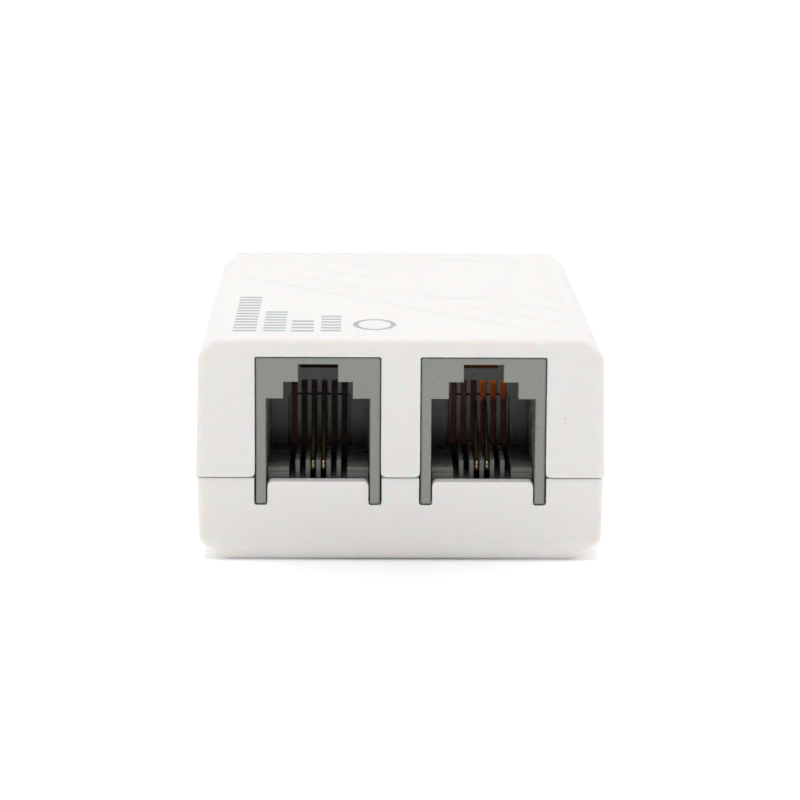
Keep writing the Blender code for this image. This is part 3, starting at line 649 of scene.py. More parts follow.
def piece(obj, name, look, body, *stands_for, slot=None):
    """Makes an object a shown piece: its name, material, shading, body and the CAD nodes it stands for."""
    obj.name = name
    obj.data.name = name
    WORK.objects.unlink(obj)
    PIECES.objects.link(obj)
    obj.data.materials.clear()
    obj.data.materials.append(look)
    obj.data.shade_smooth()
    obj.data.set_sharp_from_angle(angle=math.radians(SHARP_ANGLE))
    weighted = obj.modifiers.new("Weighted normals", "WEIGHTED_NORMAL")
    weighted.keep_sharp = True
    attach(obj, body)
    if stands_for:
        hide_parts(*stands_for)
    return obj


# ---------------------------------------------------------------- case

CASE_HIGH = cad_box[1]
CASE_HALF_WIDTH = CASE_HIGH.x
CASE_HALF_LENGTH = CASE_HIGH.y
CASE_HEIGHT = CASE_HIGH.z
PRINT_THICKNESS = 0.012 * MM
LID_Z = CASE_HEIGHT - PRINT_THICKNESS
DRAFT = math.tan(math.radians(1.2))
WALL = 1.6 * MM
EDGE_RADIUS = 0.5 * MM
PARTING_Z = 8.6 * MM
SEAM = 0.15 * MM
LOWER_SHELL_INSET = 0.16 * MM
LID_CHAMFER_WIDTH = 1.78 * MM
LID_CHAMFER_HEIGHT = 1.6 * MM
BASE_CHAMFER_HEIGHT = 1.95 * MM
BASE_CHAMFER_WIDTH = 2.57 * MM
BASE_CHAMFER_LENGTH = 1.3 * MM
LIP_THICKNESS = 0.76 * MM
LIP_HEIGHT = 0.9 * MM
LIP_GAP = 0.25 * MM
HOOK_Y = 13.0 * MM
HOOK_LENGTH = 5.0 * MM
HOOK_THICKNESS = 0.9 * MM
HOOK_BARB = 0.7 * MM
HOOK_TIP_Z = 4.7 * MM
HOOK_CATCH_Z = 6.2 * MM
CLEARANCE = 0.3 * MM
BOARD_LOW, BOARD_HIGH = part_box("circuit_board")
BOARD_POSTS = ((0.0, -22.0 * MM), (-12.5 * MM, 22.0 * MM), (12.5 * MM, 22.0 * MM))
POST_RADIUS = 2.2 * MM
POST_PIN_RADIUS = 0.9 * MM
LID_POST_RADIUS = 1.4 * MM

JACKS = ("phone", "modem", "line")
JACK_GAP = 0.15 * MM
UPPER_GAP = 0.08 * MM
EASE = 0.07 * MM
MOUTH_FLARE = 0.45 * MM
MOUTH_TOP_RADIUS = 0.2 * MM
TONGUE_HALF_WIDTH = 4.96 * MM
TONGUE_TOP_Z = 8.17 * MM
TONGUE_RADIUS = 0.5 * MM
LEG_SLOT_BASE_Z = 5.8 * MM
LEG_SLOT_RADIUS = 0.25 * MM
INSIDE_HALF_WIDTH = CASE_HALF_WIDTH - WALL
INSIDE_HALF_LENGTH = CASE_HALF_LENGTH - WALL
CEILING_Z = CASE_HEIGHT - WALL
LIP_HALF_WIDTH = CASE_HALF_WIDTH - LOWER_SHELL_INSET - WALL + LIP_THICKNESS
LIP_HALF_LENGTH = CASE_HALF_LENGTH - LOWER_SHELL_INSET - WALL + LIP_THICKNESS
FAR = 2 * CASE_HALF_LENGTH


def jack_place(jack):
    """(middle of the mouth at the housing's lowest edge, turn about Z)."""
    low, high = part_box(f"{jack}_jack_housing")
    faces_back = high.y > 0.0
    mouth_y = high.y if faces_back else low.y
    return Vector(((low.x + high.x) / 2, mouth_y, low.z)), math.pi if faces_back else 0.0


JACK_LOW, JACK_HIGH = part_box("phone_jack_housing")
JACK_HALF_WIDTH = (JACK_HIGH.x - JACK_LOW.x) / 2
JACK_DEPTH = JACK_HIGH.y - JACK_LOW.y
JACK_HEIGHT = JACK_HIGH.z - JACK_LOW.z
OPENING_HALF_WIDTH = JACK_HALF_WIDTH + JACK_GAP
UPPER_OPENING_HALF_WIDTH = JACK_HALF_WIDTH + UPPER_GAP
OPENING_TOP_Z = JACK_HIGH.z + UPPER_GAP


def drafted(z, half):
    """Half a side of the case at height z, where half is the same at the parting line."""
    return half - abs(z - PARTING_Z) * DRAFT


def jack_mouth_cutter(name, corners, half_length, lean):
    """Cuts one outline, drawn about a socket's middle, through the wall in front of each socket and
    eases the opening's rim. The wall is half_length away at the parting line and leans in above it."""
    cutters = []
    inner_end = 2 * EASE
    for jack in JACKS:
        place, turn = jack_place(jack)
        side = 1 if turn else -1
        ends = sorted((side * (CASE_HALF_LENGTH + WALL), side * (CASE_HALF_LENGTH - 2 * WALL)))
        outline = [(place.x + across, along) for across, along in softened(corners)]
        cutters.append(prism(f"{name}_{jack}", outline, ends[0], ends[1], axis="Y"))
        rings = []
        for outside, larger in ((EASE, 2 * EASE), (-inner_end, EASE - inner_end)):
            rings.append([
                (x, side * (half_length - lean * (z - PARTING_Z) + outside), z)
                for x, z in offset(outline, larger)
            ])
        cutters.append(loft(f"{name}_{jack}_rim", rings))
    return cutters


def upper_shell():
    shoulder_z = CASE_HEIGHT - LID_CHAMFER_HEIGHT
    skirt_z = PARTING_Z - WALL
    shoulder = drafted(shoulder_z, CASE_HALF_WIDTH)
    shell = loft("case_top", [
        rectangle(skirt_z, drafted(skirt_z, CASE_HALF_WIDTH), drafted(skirt_z, CASE_HALF_LENGTH)),
        rectangle(PARTING_Z, CASE_HALF_WIDTH, CASE_HALF_LENGTH),
        rectangle(shoulder_z, shoulder, drafted(shoulder_z, CASE_HALF_LENGTH)),
        rectangle(LID_Z, shoulder - LID_CHAMFER_WIDTH, drafted(LID_Z, CASE_HALF_LENGTH)),
    ])
    rounded(shell, EDGE_RADIUS, segments=6)
    below = box("below_parting", (-FAR, -FAR, -FAR), (FAR, FAR, PARTING_Z + SEAM / 2))
    inner_shoulder = CEILING_Z - LID_CHAMFER_HEIGHT / 2
    cavity = loft("upper_cavity", [
        rectangle(PARTING_Z - WALL, INSIDE_HALF_WIDTH + DRAFT * WALL, INSIDE_HALF_LENGTH + DRAFT * WALL),
        rectangle(inner_shoulder, drafted(inner_shoulder, INSIDE_HALF_WIDTH),
                  drafted(inner_shoulder, INSIDE_HALF_LENGTH)),
        rectangle(CEILING_Z, INSIDE_HALF_WIDTH - LID_CHAMFER_HEIGHT, drafted(CEILING_Z, INSIDE_HALF_LENGTH)),
    ])
    rabbet_top = PARTING_Z + LIP_HEIGHT + LIP_GAP
    rabbet = loft("rabbet", [
        rectangle(PARTING_Z - WALL, LIP_HALF_WIDTH + LIP_GAP, LIP_HALF_LENGTH + LIP_GAP),
        rectangle(rabbet_top, LIP_HALF_WIDTH + LIP_GAP, LIP_HALF_LENGTH + LIP_GAP),
    ])
    parting = PARTING_Z + SEAM / 2
    mouth = mirrored([
        (UPPER_OPENING_HALF_WIDTH + MOUTH_FLARE, parting - WALL, 0.0),
        (UPPER_OPENING_HALF_WIDTH + MOUTH_FLARE, parting, 0.0),
        (UPPER_OPENING_HALF_WIDTH, parting, MOUTH_FLARE),
        (UPPER_OPENING_HALF_WIDTH, OPENING_TOP_Z, MOUTH_TOP_RADIUS),
    ])
    cut(shell, below, cavity, rabbet)
    cut(shell, *jack_mouth_cutter("upper_mouth", mouth, CASE_HALF_LENGTH, DRAFT))
    grooves = lid_strips("lid_grooves", LID_Z - GROOVE_DEPTH, LID_Z + MM, LINE_WIDTH)
    cut(shell, grooves, oval_groove())
    shell = baked(shell, "case_top")
    join(shell, snap_hooks(rabbet_top), lid_posts())
    return piece(baked(shell, "case_top"), "case_top", WHITE, "case", "upper_shell", slot="case_plastic")


def snap_hooks(root_z):
    """Four hooks that hang from the inside of the upper shell's long sides."""
    inner = LIP_HALF_WIDTH - LIP_THICKNESS - CLEARANCE - HOOK_THICKNESS
    outer = inner + HOOK_THICKNESS
    root = INSIDE_HALF_WIDTH + WALL / 2
    root_base = root_z + CLEARANCE
    profile = [
        (inner, HOOK_TIP_Z),
        (outer, HOOK_TIP_Z),
        (outer + HOOK_BARB, HOOK_CATCH_Z - CLEARANCE),
        (outer + HOOK_BARB, HOOK_CATCH_Z),
        (outer, HOOK_CATCH_Z),
        (outer, root_base),
        (root, root_base),
        (root, root_base + WALL),
        (inner, root_base + WALL),
    ]
    hooks = []
    for side in (-1, 1):
        for end in (-1, 1):
            outline = [(side * across, along) for across, along in profile]
            middle = end * HOOK_Y
            name = f"hook_{side}_{end}"
            hooks.append(prism(name, outline, middle - HOOK_LENGTH / 2, middle + HOOK_LENGTH / 2, axis="Y"))
    return group("snap_hooks", hooks)


def hook_pockets():
    """The recesses in the lower shell's inner sides that the hooks' barbs snap into."""
    inner = LIP_HALF_WIDTH - LIP_THICKNESS - WALL
    outer = LIP_HALF_WIDTH - LIP_THICKNESS + HOOK_BARB
    half = HOOK_LENGTH / 2 + CLEARANCE
    pockets = []
    for side in (-1, 1):
        low_x, high_x = sorted((side * inner, side * outer))
        for end in (-1, 1):
            low = (low_x, end * HOOK_Y - half, HOOK_TIP_Z - CLEARANCE)
            high = (high_x, end * HOOK_Y + half, HOOK_CATCH_Z + CLEARANCE)
            pockets.append(box(f"pocket_{side}_{end}", low, high))
    return group("hook_pockets", pockets)


def lid_posts():
    """Posts under the lid that hold the board down on the lower shell's posts."""
    base = BOARD_HIGH.z + CLEARANCE
    top = CEILING_Z + WALL / 2
    posts = [
        cylinder(f"lid_post_{i}", place, LID_POST_RADIUS, base, top)
        for i, place in enumerate(BOARD_POSTS)
    ]
    return group("lid_posts", posts)


def board_posts():
    """Stepped posts on the lower shell's floor: a shoulder under the board and a pin into it."""
    shoulder = BOARD_LOW.z - CLEARANCE
    root = WALL / 2
    profile = [
        (0.0, BOARD_HIGH.z),
        (POST_PIN_RADIUS, BOARD_HIGH.z),
        (POST_PIN_RADIUS, shoulder),
        (POST_RADIUS, shoulder),
        (POST_RADIUS, root),
        (0.0, root),
    ]
    posts = []
    for i, (x, y) in enumerate(BOARD_POSTS):
        post = turned(f"board_post_{i}", profile)
        post.data.transform(Matrix.Translation((x, y, 0.0)))
        posts.append(post)
    return group("board_posts", posts)


def lower_shell():
    half_width = CASE_HALF_WIDTH - LOWER_SHELL_INSET
    half_length = CASE_HALF_LENGTH - LOWER_SHELL_INSET
    chamfer_width = drafted(BASE_CHAMFER_HEIGHT, half_width)
    chamfer_length = drafted(BASE_CHAMFER_HEIGHT, half_length)
    above_z = PARTING_Z + WALL
    shell = loft("case_bottom", [
        rectangle(0.0, chamfer_width - BASE_CHAMFER_WIDTH, chamfer_length - BASE_CHAMFER_LENGTH),
        rectangle(BASE_CHAMFER_HEIGHT, chamfer_width, chamfer_length),
        rectangle(PARTING_Z, half_width, half_length),
        rectangle(above_z, drafted(above_z, half_width), drafted(above_z, half_length)),
    ])
    rounded(shell, EDGE_RADIUS, segments=6)
    above = box("above_parting", (-FAR, -FAR, PARTING_Z - SEAM / 2), (FAR, FAR, FAR))
    lip_low = (-LIP_HALF_WIDTH, -LIP_HALF_LENGTH, PARTING_Z - WALL)
    lip = box("lip", lip_low, (LIP_HALF_WIDTH, LIP_HALF_LENGTH, PARTING_Z + LIP_HEIGHT))
    inside_width = LIP_HALF_WIDTH - LIP_THICKNESS
    inside_length = LIP_HALF_LENGTH - LIP_THICKNESS
    cavity = loft("lower_cavity", [
        rectangle(WALL, inside_width - BASE_CHAMFER_WIDTH / 2, inside_length - BASE_CHAMFER_LENGTH / 2),
        rectangle(WALL + BASE_CHAMFER_HEIGHT / 2, inside_width, inside_length),
        rectangle(PARTING_Z + 2 * WALL, inside_width, inside_length),
    ])
    cut(shell, above)
    join(shell, lip)
    above_lip = PARTING_Z + 2 * WALL
    mouth = mirrored([
        (TONGUE_HALF_WIDTH, TONGUE_TOP_Z, TONGUE_RADIUS),
        (TONGUE_HALF_WIDTH, LEG_SLOT_BASE_Z, LEG_SLOT_RADIUS),
        (OPENING_HALF_WIDTH, LEG_SLOT_BASE_Z, LEG_SLOT_RADIUS),
        (OPENING_HALF_WIDTH, above_lip, 0.0),
    ])
    cut(shell, cavity, hook_pockets())
    cut(shell, *jack_mouth_cutter("lower_mouth", mouth, half_length, -DRAFT))
    join(shell, board_posts())
    made = baked(shell, "case_bottom")
    return piece(made, "case_bottom", WHITE, "case", "lower_shell", slot="case_plastic")


# ---------------------------------------------------------------- lid decoration

LINE_SLOPE = -1.14
LINE_STARTS = tuple((-8.6 + 7.8 * step) * MM for step in range(8))
LINE_WIDTH = 0.2 * MM
GROOVE_DEPTH = 0.03 * MM
GROOVE_FILL = 0.004 * MM
LINE_END_X = 17.2 * MM
LINE_END_Y = 29.3 * MM
BLANK_CENTRE = (6.8 * MM, 9.8 * MM)
BLANK_HALF = (7.95 * MM, 17.4 * MM)
UNBROKEN_LINES = (0, 6)
OVAL_HALF = (6.4 * MM, 14.0 * MM)
OVAL_DEPTH = 0.18 * MM
GROOVE_HALF_WIDTH = 0.6 * MM
PRINT_ROWS = (
    # first and last x, first y, pitch and count of the marks
    (-16.6 * MM, -14.3 * MM, -25.0 * MM, 1.72 * MM, 13),
    (-13.6 * MM, -11.4 * MM, -24.9 * MM, 1.60 * MM, 8),
    (-10.8 * MM, -8.6 * MM, -25.0 * MM, 1.90 * MM, 4),
    (-7.9 * MM, -5.9 * MM, -24.8 * MM, 1.70 * MM, 6),
)
MARK_SHARE = 0.4
RING_CENTRE = (-2.55 * MM, -20.75 * MM)
RING_HALF = (2.15 * MM, 3.2 * MM)
RING_WIDTH = 0.5 * MM


def line_spans():
    """Each lid line as (start x, end x, height c) on y = c + slope * x, left out around the oval."""
    spans = []
    for number, start in enumerate(LINE_STARTS):
        low_x = max(-LINE_END_X, (LINE_END_Y - start) / LINE_SLOPE)
        high_x = min(LINE_END_X, (-LINE_END_Y - start) / LINE_SLOPE)
        steepness = LINE_SLOPE / BLANK_HALF[1]
        offset = (start + LINE_SLOPE * BLANK_CENTRE[0] - BLANK_CENTRE[1]) / BLANK_HALF[1]
        square = 1 / BLANK_HALF[0] ** 2 + steepness ** 2
        under_root = (steepness * offset) ** 2 - square * (offset ** 2 - 1)
        if number in UNBROKEN_LINES or under_root <= 0.0:
            spans.append((low_x, high_x, start))
            continue
        middle = BLANK_CENTRE[0] - steepness * offset / square
        half = math.sqrt(under_root) / square
        if middle - half > low_x:
            spans.append((low_x, middle - half, start))
        if middle + half < high_x:
            spans.append((middle + half, high_x, start))
    return spans


def lid_strips(name, low, high, width, lengthen=0.0):
    """A thin upright strip along each lid line."""
    strips = []
    turn = math.atan(LINE_SLOPE)
    for number, (start_x, end_x, height) in enumerate(line_spans()):
        middle_x = (start_x + end_x) / 2
        half = (end_x - start_x) / math.cos(turn) / 2 + lengthen
        strip = box(f"{name}_{number}", (-half, -width / 2, low), (half, width / 2, high))
        place = Matrix.Translation((middle_x, height + LINE_SLOPE * middle_x, 0.0))
        strip.data.transform(place @ Matrix.Rotation(turn, 4, "Z"))
        strips.append(strip)
    return group(name, strips)


def oval_groove():
    """The very shallow oval groove in the lid."""
    profile = [
        (GROOVE_HALF_WIDTH, LID_Z),
        (0.0, LID_Z - OVAL_DEPTH),
        (-GROOVE_HALF_WIDTH, LID_Z),
        (-GROOVE_HALF_WIDTH, LID_Z + MM),
        (GROOVE_HALF_WIDTH, LID_Z + MM),
    ]
    return ring_solid("oval_groove", BLANK_CENTRE, OVAL_HALF, profile)


def lid_print():
    """Rows of plain bars and a plain ring, where a product would carry its markings."""
    marks = []
    for row, (low_x, high_x, first_y, pitch, count) in enumerate(PRINT_ROWS):
        for number in range(count):
            low_y = first_y + number * pitch
            low = (low_x, low_y, LID_Z - GROOVE_DEPTH)
            marks.append(box(f"mark_{row}_{number}", low, (high_x, low_y + MARK_SHARE * pitch, CASE_HEIGHT)))
    low_z = LID_Z - GROOVE_DEPTH
    profile = [(0.0, low_z), (0.0, CASE_HEIGHT), (-RING_WIDTH, CASE_HEIGHT), (-RING_WIDTH, low_z)]
    marks.append(ring_solid("ring", RING_CENTRE, RING_HALF, profile))
    return piece(group("lid_print", marks), "lid_print", INK, "case")


def lid_lines():
    strips = lid_strips("lid_lines", LID_Z - WALL / 2, LID_Z - GROOVE_FILL, LINE_WIDTH)
    return piece(strips, "lid_lines", LINE_TINT, "case")


# ---------------------------------------------------------------- sockets

MOUTH_HALF_WIDTH = 5.1 * MM
CAVITY_REAR_HALF_WIDTH = 4.85 * MM
CAVITY_DEPTH = 12.5 * MM
CAVITY_TOP = 10.55 * MM
KEYWAY_HALF_WIDTH = 3.4 * MM
KEYWAY_TOP = 12.2 * MM
LATCH_HALF_WIDTH = 1.95 * MM
LATCH_TOP = 13.95 * MM
POCKET_HALF_WIDTH = 4.4 * MM
POCKET_TOP = 13.2 * MM
POCKET_START = 2.5 * MM
REAR_WINDOW_BASE = 11.32 * MM
REAR_WALL_BASE = 3.33 * MM
COMB_TOP = 10.1 * MM
COMB_SLOT_WIDTH = 0.62 * MM
COMB_PANEL_HALF_WIDTH = 3.2 * MM
COMB_PANEL_TOP = 8.75 * MM
COMB_PANEL_RADIUS = 0.45 * MM
COMB_PANEL_DEPTH = 0.12 * MM
PANEL_GROOVE_WIDTH = 0.24 * MM
PANEL_GROOVE_DEPTH = 1.0 * MM
CONTACT_PITCH = 1.02 * MM
CONTACT_PLACES = 6
WIRED_PLACES = (2, 3)
CARRIER_BASE = 0.3 * MM
CARRIER_FLOOR = 3.3 * MM
CARRIER_FRONT = 2.0 * MM
CARRIER_REAR = 14.0 * MM
CARRIER_SIDE_GAP = 0.05 * MM
LEDGE_FRONT = 1.7 * MM
LEDGE_TOP = 2.8 * MM
RIB_TOP = 3.87 * MM
RIB_FRONT = 2.7 * MM
RIB_REAR = 12.2 * MM
RIB_WIDTH = 0.46 * MM
COMB_FLOOR_HALF_WIDTH = 2.87 * MM
GROOVE_FLOOR = 1.75 * MM
GROOVE_REAR = 12.8 * MM
CHANNEL_HALF_WIDTH = 0.35 * MM
CHANNEL_FLOOR = 2.6 * MM
PEG_RADIUS = 1.2 * MM
PEG_END_Z = -2.2 * MM
PEG_PLACES = ((-3.4 * MM, 7.0 * MM), (3.4 * MM, 7.0 * MM))
HOUSING_RADIUS = 0.25 * MM
WIRE_RADIUS = 0.225 * MM
WIRE_SPLIT = 0.15 * MM
HINGE_Y = 2.8 * MM
HINGE_Z = 3.4 * MM
BEND_RADIUS = 0.3 * MM
BEAM_ANGLE = math.radians(37.0)
BEAM_REACH = 8.1 * MM
TAIL_DROP_Y = 14.4 * MM
DROP_RADIUS = 0.4 * MM
TAIL_END = -2.6 * MM
TAPE_GAP = 0.03 * MM
TAPE_THICKNESS = 0.12 * MM
TAPE_INSET = 0.2 * MM


def contact_x(place):
    """The middle of a contact's groove. Places count from 0 at the left."""
    return (place - (CONTACT_PLACES - 1) / 2) * CONTACT_PITCH


def narrowing(y):
    """Half the cavity's width at depth y."""
    return MOUTH_HALF_WIDTH - (MOUTH_HALF_WIDTH - CAVITY_REAR_HALF_WIDTH) * y / CAVITY_DEPTH


def narrowing_block(name, start, end, low, high, gap=0.0):
    """A block that fills the cavity's tapering width, less a gap, between two depths."""
    rings = []
    for y in (start, end):
        half = narrowing(y) - gap
        rings.append([(-half, y, low), (half, y, low), (half, y, high), (-half, y, high)])
    return loft(name, rings)


def mouth_ring(y, larger):
    """The socket's stepped mouth at depth y, made a little larger all round."""
    outline = mirrored([
        (MOUTH_HALF_WIDTH, -CLEARANCE),
        (MOUTH_HALF_WIDTH, CAVITY_TOP),
        (KEYWAY_HALF_WIDTH, CAVITY_TOP),
        (KEYWAY_HALF_WIDTH, KEYWAY_TOP),
        (LATCH_HALF_WIDTH, KEYWAY_TOP),
        (LATCH_HALF_WIDTH, LATCH_TOP),
    ])
    return [(x, y, z) for x, z in offset(outline, larger)]


def jack_housing():
    """A socket's housing, with its mouth's lowest middle point at the origin and +Y into the socket."""
    body = box("housing", (-JACK_HALF_WIDTH, 0.0, 0.0), (JACK_HALF_WIDTH, JACK_DEPTH, JACK_HEIGHT))
    body = baked(rounded(body, HOUSING_RADIUS, segments=4), "housing")
    outside = 2 * MM
    behind = JACK_DEPTH + outside
    overlap_z = CAVITY_TOP - outside
    cavity = narrowing_block("cavity", -outside, CAVITY_DEPTH, -outside, CAVITY_TOP)
    base = box("open_base", (-CAVITY_REAR_HALF_WIDTH, CAVITY_DEPTH - outside, -outside),
               (CAVITY_REAR_HALF_WIDTH, behind, REAR_WALL_BASE))
    keyway = box("keyway", (-KEYWAY_HALF_WIDTH, -outside, overlap_z),
                 (KEYWAY_HALF_WIDTH, POCKET_START + outside, KEYWAY_TOP))
    latch = box("latch_way", (-LATCH_HALF_WIDTH, -outside, overlap_z),
                (LATCH_HALF_WIDTH, CAVITY_DEPTH, LATCH_TOP))
    pocket = box("latch_pocket", (-POCKET_HALF_WIDTH, POCKET_START, overlap_z),
                 (POCKET_HALF_WIDTH, CAVITY_DEPTH, POCKET_TOP))
    window = box("rear_window", (-LATCH_HALF_WIDTH, CAVITY_DEPTH - outside, REAR_WINDOW_BASE),
                 (LATCH_HALF_WIDTH, behind, LATCH_TOP))
    panel_outline = softened(mirrored([
        (COMB_PANEL_HALF_WIDTH, 0.0, 0.0),
        (COMB_PANEL_HALF_WIDTH, COMB_PANEL_TOP, COMB_PANEL_RADIUS),
    ]))
    panel = prism("comb_panel", panel_outline, CAVITY_DEPTH - outside, CAVITY_DEPTH + COMB_PANEL_DEPTH,
                  axis="Y")
    inside_groove = offset(panel_outline, -PANEL_GROOVE_WIDTH)
    groove = prism("panel_groove", panel_outline, CAVITY_DEPTH - MM, CAVITY_DEPTH + PANEL_GROOVE_DEPTH,
                   axis="Y")
    cut(groove, prism("panel_core", inside_groove, CAVITY_DEPTH - outside, behind, axis="Y"))
    half_slot = COMB_SLOT_WIDTH / 2
    slots = []
    for place in range(CONTACT_PLACES):
        low = (contact_x(place) - half_slot, CAVITY_DEPTH - outside, 0.0)
        slots.append(box(f"slot_{place}", low, (contact_x(place) + half_slot, behind, COMB_TOP)))
    inner_end = 2 * EASE
    flare = loft("mouth_flare", [mouth_ring(-EASE, 2 * EASE), mouth_ring(inner_end, EASE - inner_end)])
    cut(body, cavity, base, keyway, latch, pocket, window, panel, group("comb_slots", slots), flare)
    cut(body, baked(groove, "panel_groove"))
    return baked(body, "housing")


def contact_carrier():
    body = narrowing_block("carrier", CARRIER_FRONT, CARRIER_REAR, CARRIER_BASE, CARRIER_FLOOR,
                           CARRIER_SIDE_GAP)
    ledge = narrowing_block("ledge", LEDGE_FRONT, CARRIER_FRONT + MM, CARRIER_BASE + EASE, LEDGE_TOP,
                            CARRIER_SIDE_GAP + EASE)
    trough = box("trough", (-COMB_FLOOR_HALF_WIDTH, 0.0, GROOVE_FLOOR),
                 (COMB_FLOOR_HALF_WIDTH, GROOVE_REAR, JACK_HEIGHT))
    channels = []
    for place in WIRED_PLACES:
        low = (contact_x(place) - CHANNEL_HALF_WIDTH, GROOVE_REAR - MM, CHANNEL_FLOOR)
        high = (contact_x(place) + CHANNEL_HALF_WIDTH, JACK_DEPTH + MM, JACK_HEIGHT)
        channels.append(box(f"channel_{place}", low, high))
    ribs = []
    for place in range(CONTACT_PLACES - 1):
        middle_x = contact_x(place) + CONTACT_PITCH / 2
        low = (middle_x - RIB_WIDTH / 2, RIB_FRONT, GROOVE_FLOOR - WALL / 2)
        rib = box(f"rib_{place}", low, (middle_x + RIB_WIDTH / 2, RIB_REAR, RIB_TOP))
        ribs.append(baked(rounded(rib, EASE), f"rib_{place}"))
    pegs = [
        cylinder(f"peg_{i}", place, PEG_RADIUS, PEG_END_Z, CARRIER_FLOOR / 2)
        for i, place in enumerate(PEG_PLACES)
    ]
    body = baked(rounded(body, EASE), "carrier")
    join(body, baked(rounded(ledge, EASE), "ledge"))
    cut(body, trough, group("wire_channels", channels))
    join(body, group("ribs", ribs), group("pegs", pegs))
    return baked(body, "carrier")


def arc(centre, radius, start, end, steps=10):
    """Points on an arc in the YZ plane. Angles are in radians from +Y towards +Z."""
    points = []
    for step in range(steps + 1):
        angle = start + (end - start) * step / steps
        points.append((0.0, centre[0] + radius * math.cos(angle), centre[1] + radius * math.sin(angle)))
    return points


def contact_beam():
    """The sprung half of a contact, drawn from its hinge line: round the bend, then up and back."""
    lift = math.asin(WIRE_SPLIT / BEND_RADIUS)
    points = arc((BEND_RADIUS, 0.0), BEND_RADIUS, math.pi - lift, math.pi / 2 + BEAM_ANGLE)
    last = points[-1]
    tip = (0.0, last[1] + BEAM_REACH * math.cos(BEAM_ANGLE), last[2] + BEAM_REACH * math.sin(BEAM_ANGLE))
    return wire("beam", points + [tip], WIRE_RADIUS)


def contact_tail():
    """The fixed half of a contact: back under the sprung half and down into the board."""
    split_z = HINGE_Z - WIRE_SPLIT
    run_z = split_z - BEND_RADIUS
    points = arc((HINGE_Y + BEND_RADIUS, split_z), BEND_RADIUS, math.pi, 1.5 * math.pi)
    drop_centre = (TAIL_DROP_Y - DROP_RADIUS, run_z - DROP_RADIUS)
    points += reversed(arc(drop_centre, DROP_RADIUS, 0.0, 0.5 * math.pi))
    points.append((0.0, TAIL_DROP_Y, TAIL_END))
    return wire("tail", points, WIRE_RADIUS)


def sockets():
    shapes = {"housing": jack_housing(), "carrier": contact_carrier(), "beam": contact_beam(),
              "tail": contact_tail()}
    for jack in JACKS:
        place, turn = jack_place(jack)
        to_case = Matrix.Translation(place) @ Matrix.Rotation(turn, 4, "Z")
        parts = [
            (f"{jack}_socket", "housing", (0, 0, 0), GREY, "case", f"{jack}_jack_housing", "jack_plastic"),
            (f"{jack}_carrier", "carrier", (0, 0, 0), SHADED_GREY, "case", f"{jack}_jack_contact_carrier",
             "jack_plastic"),
        ]
        for number, wired in enumerate(WIRED_PLACES, start=1):
            x = contact_x(wired)
            spring = f"{jack}_contact_{number}"
            parts.append((f"{spring}_spring", "beam", (x, HINGE_Y, HINGE_Z), GOLD, spring, f"{spring}_beam",
                          "contact_gold"))
            parts.append((f"{spring}_foot", "tail", (x, 0.0, 0.0), GOLD, "case", f"{spring}_tail",
                          "contact_gold"))
        for name, shape, offset, look, body, node, slot in parts:
            made = add_object(name, shapes[shape].data.copy())
            made.data.transform(to_case @ Matrix.Translation(offset))
            piece(made, name, look, body, node, slot=slot)


def core_tape(choke):
    """A band of amber film round a choke's core."""
    left_low, left_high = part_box(f"{choke}_core_left")
    _, right_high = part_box(f"{choke}_core_right")
    corners = {}
    for name, out in (("inner", TAPE_GAP), ("outer", TAPE_GAP + TAPE_THICKNESS)):
        corners[name] = (
            (left_low.x - out, left_low.y - out, left_low.z + TAPE_INSET),
            (right_high.x + out, left_high.y + out, left_high.z - TAPE_INSET),
        )
    low, high = corners["inner"]
    band = rounded(box("tape", *corners["outer"]), EDGE_RADIUS)
    hole_corners = ((low[0], low[1], low[2] - MM), (high[0], high[1], high[2] + MM))
    hole = rounded(box("tape_hole", *hole_corners), EDGE_RADIUS)
    return piece(baked(cut(band, hole), "tape"), f"{choke}_core_tape", AMBER, "case")


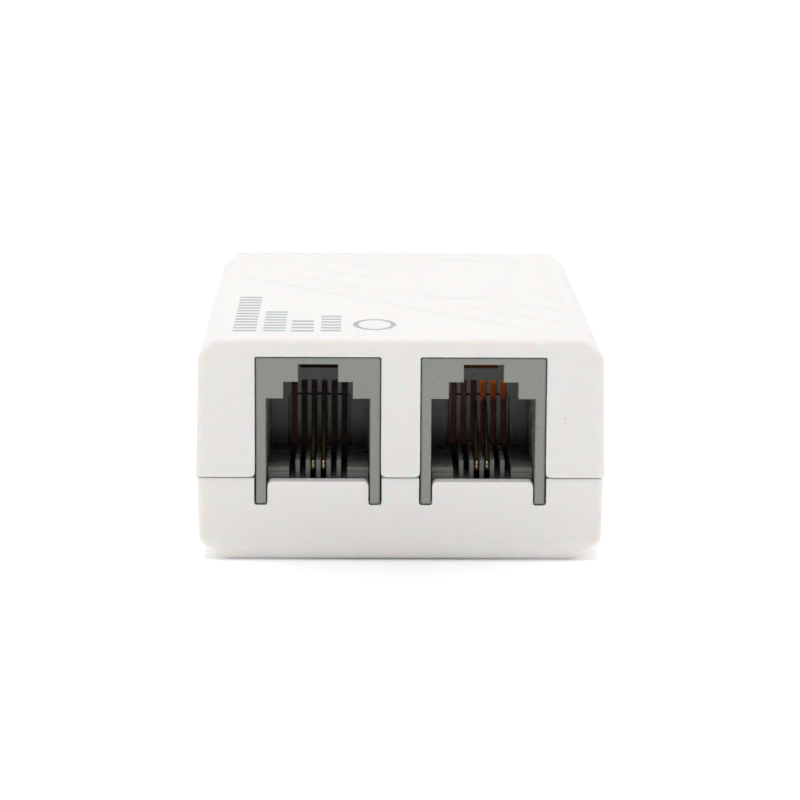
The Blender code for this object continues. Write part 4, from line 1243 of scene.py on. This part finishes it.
WHITE = white_plastic()
AMBER = coat("amber_film", (0.74, 0.37, 0.12), (0.66, 0.31, 0.09), 0.35)
GREY = grey_plastic("grey_plastic", 1.0, DEEP_SHADE)
# The carriers' copy of the grey is darkened to 0.6 as painted shade on the sockets' floors.
SHADED_GREY = grey_plastic("shaded_grey_plastic", 0.6, 1.0)
GOLD = metal("gold_plate", (0.42, 0.32, 0.16), (0.24, 0.19, 0.11), 0.08)
INK = coat("grey_ink", (0.47, 0.48, 0.51), (0.42, 0.43, 0.46), 0.5)
LINE_TINT = coat("line_tint", (1.0, 0.87, 0.72), (0.98, 0.84, 0.69), 0.5)

add_camera()
add_world(seen=1.2, overhead=1.04, horizon=0.1)
add_sun("key", elevation=64.0, azimuth=-8.0, strength=0.85, softness=24.0)
add_light_through_lid()
add_floor()
upper_shell()
lower_shell()
lid_lines()
lid_print()
sockets()
core_tape("choke_2")

look_of = {
    "board_laminate": coat("board_laminate", (0.38, 0.26, 0.12), (0.30, 0.20, 0.09), 0.5),
    "capacitor_coat": coat("capacitor_coat", (0.26, 0.085, 0.05), (0.20, 0.06, 0.035), 0.5,
                           glow=(0.010, 0.0042, 0.0036)),
    "resistor_coat": coat("resistor_coat", (0.58, 0.44, 0.27), (0.50, 0.37, 0.22), 0.45),
    "ferrite": coat("ferrite", (0.05, 0.05, 0.055), (0.03, 0.03, 0.035), 0.55,
                    glow=(0.0045, 0.004, 0.0036)),
    "bobbin_plastic": coat("bobbin_plastic", (0.03, 0.03, 0.03), (0.02, 0.02, 0.02), 0.45),
    "copper_wire": winding_wrap(),
}
DARK_WRAP = coat("dark_wrap", (0.10, 0.06, 0.05), (0.07, 0.045, 0.04), 0.45, glow=(0.006, 0.0032, 0.003))
slots = {row["node"]: row["material_slot"] for row in frame["record"]["subparts"]}
for name, node in frame["nodes"].items():
    if slots[name] in look_of:
        node.data.materials.clear()
        node.data.materials.append(DARK_WRAP if name == "choke_1_winding" else look_of[slots[name]])
        node.data.shade_smooth()
        node.data.set_sharp_from_angle(angle=math.radians(HIDDEN_PART_SHARP_ANGLE))

for leftover in list(WORK.objects):
    bpy.data.objects.remove(leftover, do_unlink=True)

bpy.context.scene.view_settings.view_transform = "Standard"
